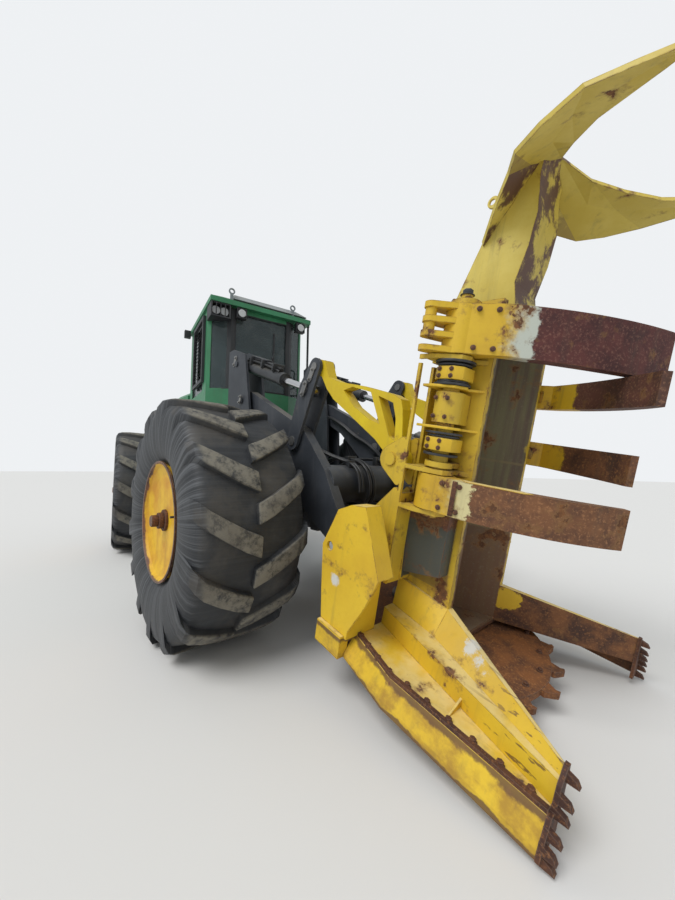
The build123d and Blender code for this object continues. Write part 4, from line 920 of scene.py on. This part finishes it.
# the gathering arms' root plates and bolts
armOrder = ("right_lower_arm", "right_upper_arm", "left_upper_arm", "left_lower_arm")
armBolts = {"along": (0.045, 0.135), "inset": 0.03, "root": 0.098, "end": 0.170, "size": (0.010, 0.010)}
armCap = (
    (0.135, -0.070), (0.150, -0.135), (0.175, -0.148), (0.300, -0.158), (0.420, -0.158), (0.460, -0.130),
    (0.420, -0.092), (0.300, -0.096), (0.185, -0.090))


def fitArms():
    a, b = postAt
    for name in armOrder:
        arm = arms[name]
        side = arm["side"]
        turn = math.atan2(arm["tip"][1] - side * b, arm["tip"][0] - a)
        space = headSpace @ Matrix.Translation((a, side * b, 0)) @ Matrix.Rotation(turn, 4, "Z")
        low, high = arm["band"]
        root = armBolts["root"]
        spots = []
        for x in armBolts["along"]:
            across = side * (root + (arm["bow"] - root) * x / armBolts["end"])
            for rise in (armBolts["inset"], high - low - armBolts["inset"]):
                spots.append(standAt((x, across, low + rise), (-0.3, side, 0)))
        fitBolts(name + "_root_bolts", name, *armBolts["size"], spots, space)
        if name == "right_lower_arm":
            plate = makePlate(armCap, high - 0.0005, high + 0.0035)
            closePiece(plate, "right_lower_arm_cap", name, "shoePaint", 0.001, space=space)
            strip = makeBlock((0.098, -0.146, low + 0.006), (0.122, -0.124, high - 0.006))
            closePiece(strip, "right_lower_arm_strip", name, "ironRust", space=space)
    print("arms fitted")


fitArms()

# keeper plates on the pins of the boom: forward, up, across, angle, size
keepers = {
    "long": 0.120, "wide": 0.046, "thick": 0.009, "bolt": (0.010, 0.010),
    "arc": (-1.57, -1.05, -0.52, 0, 0.52, 1.05, 1.57),
    "front_frame": ((-0.655, 2.395, 0.5855, 58, 1.0), (-0.485, 1.968, 0.599, 70, 0.8)),
    "tilt_levers": ((0.576, 1.911, 0.577, 62, 1.1), (0.655, 2.010, 0.5655, 60, 1.05)),
}


def keeperPlate(x, z, y, angle, grow, side):
    half = keepers["long"] / 2 * grow
    wide = keepers["wide"] / 2 * grow
    outline = [(half - wide + wide * math.cos(t), wide * math.sin(t)) for t in keepers["arc"]]
    outline += [(-u, -v) for u, v in outline]
    plate = makePlate(outline, 0, side * keepers["thick"], "XZY")
    spots = [standAt((s * half * 0.62, side * keepers["thick"], 0), (0, side, 0)) for s in (-1, 1)]
    plate = joinAll([plate, copyTo(makeBolt(*keepers["bolt"]), spots)])
    plate.matrix_world = Matrix.Translation((x, side * y, z)) @ Matrix.Rotation(math.radians(-angle), 4, "Y")
    return plate


def fitKeepers():
    for name, side in sides.items():
        for body, ending in (("front_frame", "_mast_keepers"), ("tilt_levers", "_lever_keepers")):
            plates = [keeperPlate(*spot, side) for spot in keepers[body]]
            closePiece(plates, name + ending, body, "pinSteel", 0.0015)
    print("keepers fitted")


fitKeepers()

# hoses, held by their clamps
hosePlan = {
    "radius": 0.014, "across": (-0.150, -0.105, 0.190, 0.235), "startAt": (0.16, 1.30),
    # forward, up, share of the way across, shift across
    "loop": (
        (0.34, 1.38, 0.8, 0), (0.52, 1.385, 1, 0), (0.68, 1.375, 1, 0), (0.82, 1.330, 1, 0), (0.885, 1.220, 1, 0),
        (0.885, 1.110, 1, 0.006), (0.83, 1.020, 1, 0.012), (0.72, 0.985, 1, 0.012), (0.58, 1.030, 1, 0),
        (0.50, 1.120, 1, 0)),
    "armRadius": 0.012, "armAcross": 0.425, "armGap": 0.032,
    # forward, up, shift inwards
    "armRun": (
        (-0.30, 1.880, 0), (-0.10, 1.800, 0), (0.12, 1.640, 0), (0.30, 1.560, 0), (0.46, 1.470, 0.03),
        (0.60, 1.400, 0.10), (0.70, 1.362, 0.16), (0.82, 1.325, 0.17), (0.880, 1.230, 0.17), (0.880, 1.120, 0.17)),
    "clamps": ((-0.128, 0.050), (0.212, 0.050)), "armClamp": 0.239,
}


def fitHoses():
    runs = []
    x, z = hosePlan["startAt"]
    for y in hosePlan["across"]:
        points = [(x, y * (0.55 if y < 0 else 0.7), z)]
        points += [(a, y * share + shift, h) for a, h, share, shift in hosePlan["loop"]]
        runs.append(makeHose(points, hosePlan["radius"]))
    closePiece(runs, "tube_hoses", "lift_arms", "hoseRubber", 0, 60)
    runs = []
    for side in (-1, 1):
        for i in range(2):
            y = side * (hosePlan["armAcross"] - hosePlan["armGap"] * i)
            points = [(a, y - side * shift, h) for a, h, shift in hosePlan["armRun"]]
            runs.append(makeHose(points, hosePlan["armRadius"]))
    closePiece(runs, "arm_hoses", "lift_arms", "hoseRubber", 0, 60)
    clamps = [makeBlock((0.615, y - wide, 1.318), (0.665, y + wide, 1.400)) for y, wide in hosePlan["clamps"]]
    for side in (-1, 1):
        y = side * hosePlan["armClamp"]
        clamps.append(makeBlock((0.735, y - 0.034, 1.300), (0.775, y + 0.034, 1.362)))
    closePiece(clamps, "hose_clamps", "lift_arms", "blackPaint", 0.004)
    print("boom hoses fitted")


fitHoses()

# the pack of pipes on each tilt cylinder
packPlan = {
    "from": (-0.615, 2.360), "to": (0.576, 1.911), "across": 0.490, "radius": 0.0115,
    # height over the cylinder, shift across
    "pipes": ((0.078, -0.030), (0.080, 0.0), (0.078, 0.030), (0.102, -0.015), (0.102, 0.015)),
    "cover": ((0.16, -0.034, 0.116), (0.50, 0.034, 0.126)), "crown": 0.002,
    "bands": (0.20, 0.44, 0.66), "bandWide": 0.022,
}


def fitPacks():
    start = Vector((packPlan["from"][0], 0, packPlan["from"][1]))
    way = (Vector((packPlan["to"][0], 0, packPlan["to"][1])) - start).normalized()
    up = Vector((-way.z, 0, way.x))
    for name, side in sides.items():
        middle = start + Vector((0, side * packPlan["across"], 0))
        runs = []
        for i, (lift, off) in enumerate(packPlan["pipes"]):
            y = Vector((0, off, 0))
            # distance along, height, share of the shift across
            course = (
                (0.10, lift - 0.015, 1), (0.20, lift, 1), (0.34 + 0.02 * i, lift + 0.004, 1), (0.50, lift, 1),
                (0.66 - 0.03 * i, lift - 0.004, 1), (0.74, lift - 0.022, 0.6))
            points = [middle + way * along + up * high + y * share for along, high, share in course]
            runs.append(makeHose(points, packPlan["radius"]))
        closePiece(runs, name + "_cylinder_pipes", "tilt_barrels", "hoseRubber", 0, 60)
        tilt = Matrix(((way.x, 0, up.x, 0), (0, 1, 0, 0), (way.z, 0, up.z, 0), (0, 0, 0, 1)))
        space = frontSpace @ (Matrix.Translation(middle) @ tilt)
        cover = makeBlock(*packPlan["cover"], packPlan["crown"])
        closePiece(cover, name + "_pipe_cover", "tilt_barrels", "greyPaint", space=space)
        bands = [makeBlock((x, -0.060, 0.040), (x + packPlan["bandWide"], 0.060, 0.118)) for x in packPlan["bands"]]
        closePiece(bands, name + "_pipe_bands", "tilt_barrels", "blackPaint", 0.004, space=space)
    print("cylinder pipes fitted")


fitPacks()

# seat and controls behind the glass
seatPlan = {
    # low corner, high corner, the axis that the padding faces
    "cushion": ((-1.990, -0.245, 1.930), (-1.500, 0.245, 2.045), 2),
    "back": ((-2.065, -0.235, 2.040), (-1.965, 0.235, 2.690), 0),
    "head": ((-2.060, -0.130, 2.700), (-1.990, 0.130, 2.850), 0),
}
seatBase = (
    ((-1.97, -0.225, 1.885), (-1.52, 0.225, 1.930)), ((-1.85, -0.12, 1.492), (-1.65, 0.12, 1.885)),
    ((-2.085, -0.19, 1.95), (-2.062, 0.19, 2.60)))
podShape = ((-1.96, 2.05), (-1.96, 2.225), (-1.60, 2.205), (-1.505, 2.155), (-1.56, 2.09), (-1.70, 2.01))


def makeCushion(low, high, crownAxis):
    piece = makeBox(low, high)
    editOn(piece)
    bpy.ops.mesh.subdivide(number_cuts=9)
    bpy.ops.mesh.vertices_smooth(factor=0.5, repeat=3)
    wide = high[1] - low[1]
    sink = [0, 0, 0]
    sink[crownAxis] = -0.010
    for seam in (-0.22, 0.22):
        pickFaces(piece, lambda normal, m: abs(m.y / wide - seam) < 0.07 and normal[crownAxis] > 0.5)
        bpy.ops.transform.translate(value=sink)
    editOff()
    modify(piece, "SUBSURF", levels=2, render_levels=2)
    return piece


def fitSeat():
    for name, (low, high, axis) in seatPlan.items():
        closePiece(makeCushion(low, high, axis), "seat_" + name, "rear_frame", "seatCloth", 0, 60)
    base = joinAll(makeBlocks(seatBase))
    for y in (-0.285, 0.285):
        pod = makePlate(podShape, y - 0.046, y + 0.046, "XZY")
        stick = makeBar((-1.56, y, 2.180), (-1.545, y, 2.325), 0.014, 12)
        knob = startPiece(
            bpy.ops.mesh.primitive_uv_sphere_add, segments=14, ring_count=8, radius=0.026,
            location=(-1.543, y, 2.325), scale=(1, 1, 1.5))
        base = joinAll([base, pod, stick, knob])
    closePiece(base, "seat_base", "rear_frame", "seatPlastic", 0.008)
    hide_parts("cab_seat")
    print("seat fitted")


fitSeat()

# lamps, wiper, seals and door handle of the cab
cabTrim = {
    "lampsY": (-0.270, 0.485), "lampZ": 3.076, "lensRadius": 0.0445, "frame": 0.052, "frameHalf": 0.006,
    "guardLampsY": (-0.55, -0.455), "guardLampZ": 3.072,
    "sealX": (-1.978, -1.377), "sealY": -0.5975, "screenY": 0.324, "screenZ": (2.209, 3.096),
    "handleX": -1.38, "handleZ": (1.905, 2.065),
    "cowlHose": (
        (-0.985, -0.02, 2.14), (-0.955, -0.03, 2.10), (-0.93, -0.06, 2.02), (-0.925, -0.09, 1.90),
        (-0.93, -0.11, 1.76), (-0.95, -0.12, 1.62), (-0.985, -0.12, 1.56)),
    "console": (
        ((-1.18, -0.16, 1.492), (-1.10, 0.16, 2.06)), ((-1.30, -0.12, 1.492), (-1.18, -0.02, 1.56)),
        ((-1.30, 0.02, 1.492), (-1.18, 0.12, 1.56))),
}


def fitLamps():
    z = cabTrim["lampZ"]
    half = cabTrim["frameHalf"]
    bezels = []
    lenses = []
    for y in cabTrim["lampsY"]:
        lenses.append(makeBar((-0.916, y, z), (-0.9135, y, z), cabTrim["lensRadius"], 32))
        for off in (-cabTrim["frame"], cabTrim["frame"]):
            bezels.append(makeBlock((-0.932, y + off - half, z - 0.056), (-0.918, y + off + half, z + 0.056)))
            bezels.append(makeBlock((-0.932, y - 0.056, z + off - half), (-0.918, y + 0.056, z + off + half)))
    closePiece(lenses, "lamp_lenses", "rear_frame", "lampLens", 0.001)
    closePiece(bezels, "lamp_bezels", "rear_frame", "lampBody")
    z = cabTrim["guardLampZ"]
    lenses = [makeBar((-0.985, y, z), (-0.982, y, z), 0.046, 28) for y in cabTrim["guardLampsY"]]
    closePiece(lenses, "guard_lamp_lenses", "rear_frame", "lampLens", 0.001)


def fitCab():
    fitLamps()
    wiper = [
        makeBar((-1.012, -0.02, 2.215), (-1.008, 0.17, 2.700), 0.007, 10),
        makeBlock((-1.016, 0.155, 2.44), (-1.006, 0.171, 2.96)),
        makeBar((-1.028, -0.02, 2.215), (-0.998, -0.02, 2.215), 0.020, 16)]
    closePiece(wiper, "windscreen_wiper", "rear_frame", "lampBody", 0.001)
    y = cabTrim["sealY"]
    seals = [makeBlock((x - 0.010, y - 0.0035, 2.205), (x + 0.010, y + 0.006, 3.100)) for x in cabTrim["sealX"]]
    for y in (-cabTrim["screenY"], cabTrim["screenY"]):
        seals.append(makeBlock((-1.0065, y - 0.008, 2.202), (-0.998, y + 0.008, 3.100)))
    for z in cabTrim["screenZ"]:
        seals.append(makeBlock((-1.0065, -0.330, z - 0.008), (-0.998, 0.330, z + 0.008)))
    closePiece(seals, "window_seals", "rear_frame", "seatPlastic")
    x = cabTrim["handleX"]
    handle = [makeBar((x, 0.600, z), (x, 0.638, z), 0.010, 12) for z in cabTrim["handleZ"]]
    handle.append(makeBar((x, 0.636, 1.890), (x, 0.636, 2.080), 0.012, 12))
    closePiece(handle, "door_handle", "cab_door", "lampBody", 0.001)
    closePiece(makeHose(cabTrim["cowlHose"], 0.013), "cowl_hose", "rear_frame", "hoseRubber", 0, 60)
    closePiece(makeBlocks(cabTrim["console"], 0.01), "foot_console", "rear_frame", "seatPlastic", 0.006)
    print("cab fitted")


fitCab()

# hood, bumper and the steps
hoodTrim = {
    "capAt": (-3.05, 0.30, 2.372), "capTop": 2.412, "capRadius": 0.055,
    "boltsY": (0.18, 0.34), "boltsZ": (0.80, 1.10), "stepsZ": (0.98, 1.22), "stringersX": (-2.035, -1.705),
}
# blocks on both sides: spans along, distance out, half thickness, low, high, crown, finish, rounding
sideBlocks = {
    "hood_latches": (
        ((-4.13, -4.07), (-3.48, -3.42), (-2.83, -2.77)), 0.503, 0.006, 2.02, 2.10, 0.001, "lampBody", 0.002),
    "louvre_screens": (
        ((-4.25, -3.81), (-3.69, -3.25), (-3.13, -2.69)), 0.486, 0.003, 1.32, 1.88, 0, "lampBody", 0.002),
    "tail_lamps": (((-4.606, -4.592),), 0.47, 0.055, 1.02, 1.09, 0, "redLens", 0.004),
}


def fitSideBlocks(name):
    spans, out, half, low, high, crown, look, rounding = sideBlocks[name]
    blocks = [
        makeBlock((start, side * out - half, low), (end, side * out + half, high), crown)
        for start, end in spans for side in (-1, 1)]
    closePiece(blocks, name, "rear_frame", look, rounding)


def fitHood():
    fitSideBlocks("hood_latches")
    fitSideBlocks("louvre_screens")
    capAt = hoodTrim["capAt"]
    cap = makeBar(capAt, (*capAt[:2], hoodTrim["capTop"]), hoodTrim["capRadius"], 24)
    closePiece(cap, "fuel_cap", "rear_frame", "lampBody", 0.004)
    fitSideBlocks("tail_lamps")
    bolts = [
        standAt((-4.600, side * b, z), (-1, 0, 0))
        for side in (-1, 1) for b in hoodTrim["boltsY"] for z in hoodTrim["boltsZ"]]
    fitBolts("bumper_bolts", "rear_frame", 0.016, 0.014, bolts)
    steps = [makeBlock((-2.02, 0.36, z), (-1.72, 0.58, z + 0.03), 0.002) for z in hoodTrim["stepsZ"]]
    steps += [makeBlock((x - 0.010, 0.40, 0.96), (x + 0.010, 0.57, 1.455)) for x in hoodTrim["stringersX"]]
    closePiece(steps, "cab_steps", "rear_frame", "blackPaint", 0.003)
    print("hood and steps fitted")


fitHood()

# bolts of the saw: how many, centre, radius, height, and the first one's turn in steps
sawBolts = {
    "ring": (8, -0.940, 0.115, 0.100, 0), "holders": (18, -0.940, 0.585, 0.090, 0.5),
    "motor": (6, -1.200, 0.125, 0.152, 0),
}


def boltCircle(count, x, radius, z, first):
    turns = [(t + first) * math.pi / (count / 2) for t in range(count)]
    return [standAt((x + radius * math.cos(t), radius * math.sin(t), z)) for t in turns]


def fitSaw():
    spots = boltCircle(*sawBolts["ring"]) + boltCircle(*sawBolts["holders"])
    fitBolts("disc_bolts", "saw_disc", 0.013, 0.012, spots)
    fitBolts("saw_motor_bolts", "head", 0.012, 0.012, boltCircle(*sawBolts["motor"]))
    print("saw bolts fitted")


fitSaw()

# hub caps and valves of the rims: from, to, radius, facets
rimParts = {
    "hub": ((0.296, 0.318, 0.078, 28), (0.318, 0.352, 0.058, 24), (0.352, 0.3945, 0.042, 24)),
    "valve": (0.320, 0.352, 0.008, 10), "valveAt": (0.30, 0.06),
}


def fitRims():
    for name, (space, centre) in wheelPlaces.items():
        out = -1 if "right" in name else 1
        space = space @ Matrix.Translation(centre)
        hub = [
            makeBar((0, out * start, 0), (0, out * end, 0), radius, facets)
            for start, end, radius, facets in rimParts["hub"]]
        closePiece(hub, name + "_hub_cap", name + "_wheel", "ironRust", 0.004, space=space)
        start, end, radius, facets = rimParts["valve"]
        x, z = rimParts["valveAt"]
        valve = makeBar((x, out * start, z), (x, out * end, z), radius, facets)
        closePiece(valve, name + "_valve", name + "_wheel", "lampBody", 0.001, space=space)
    print("rims fitted")


fitRims()
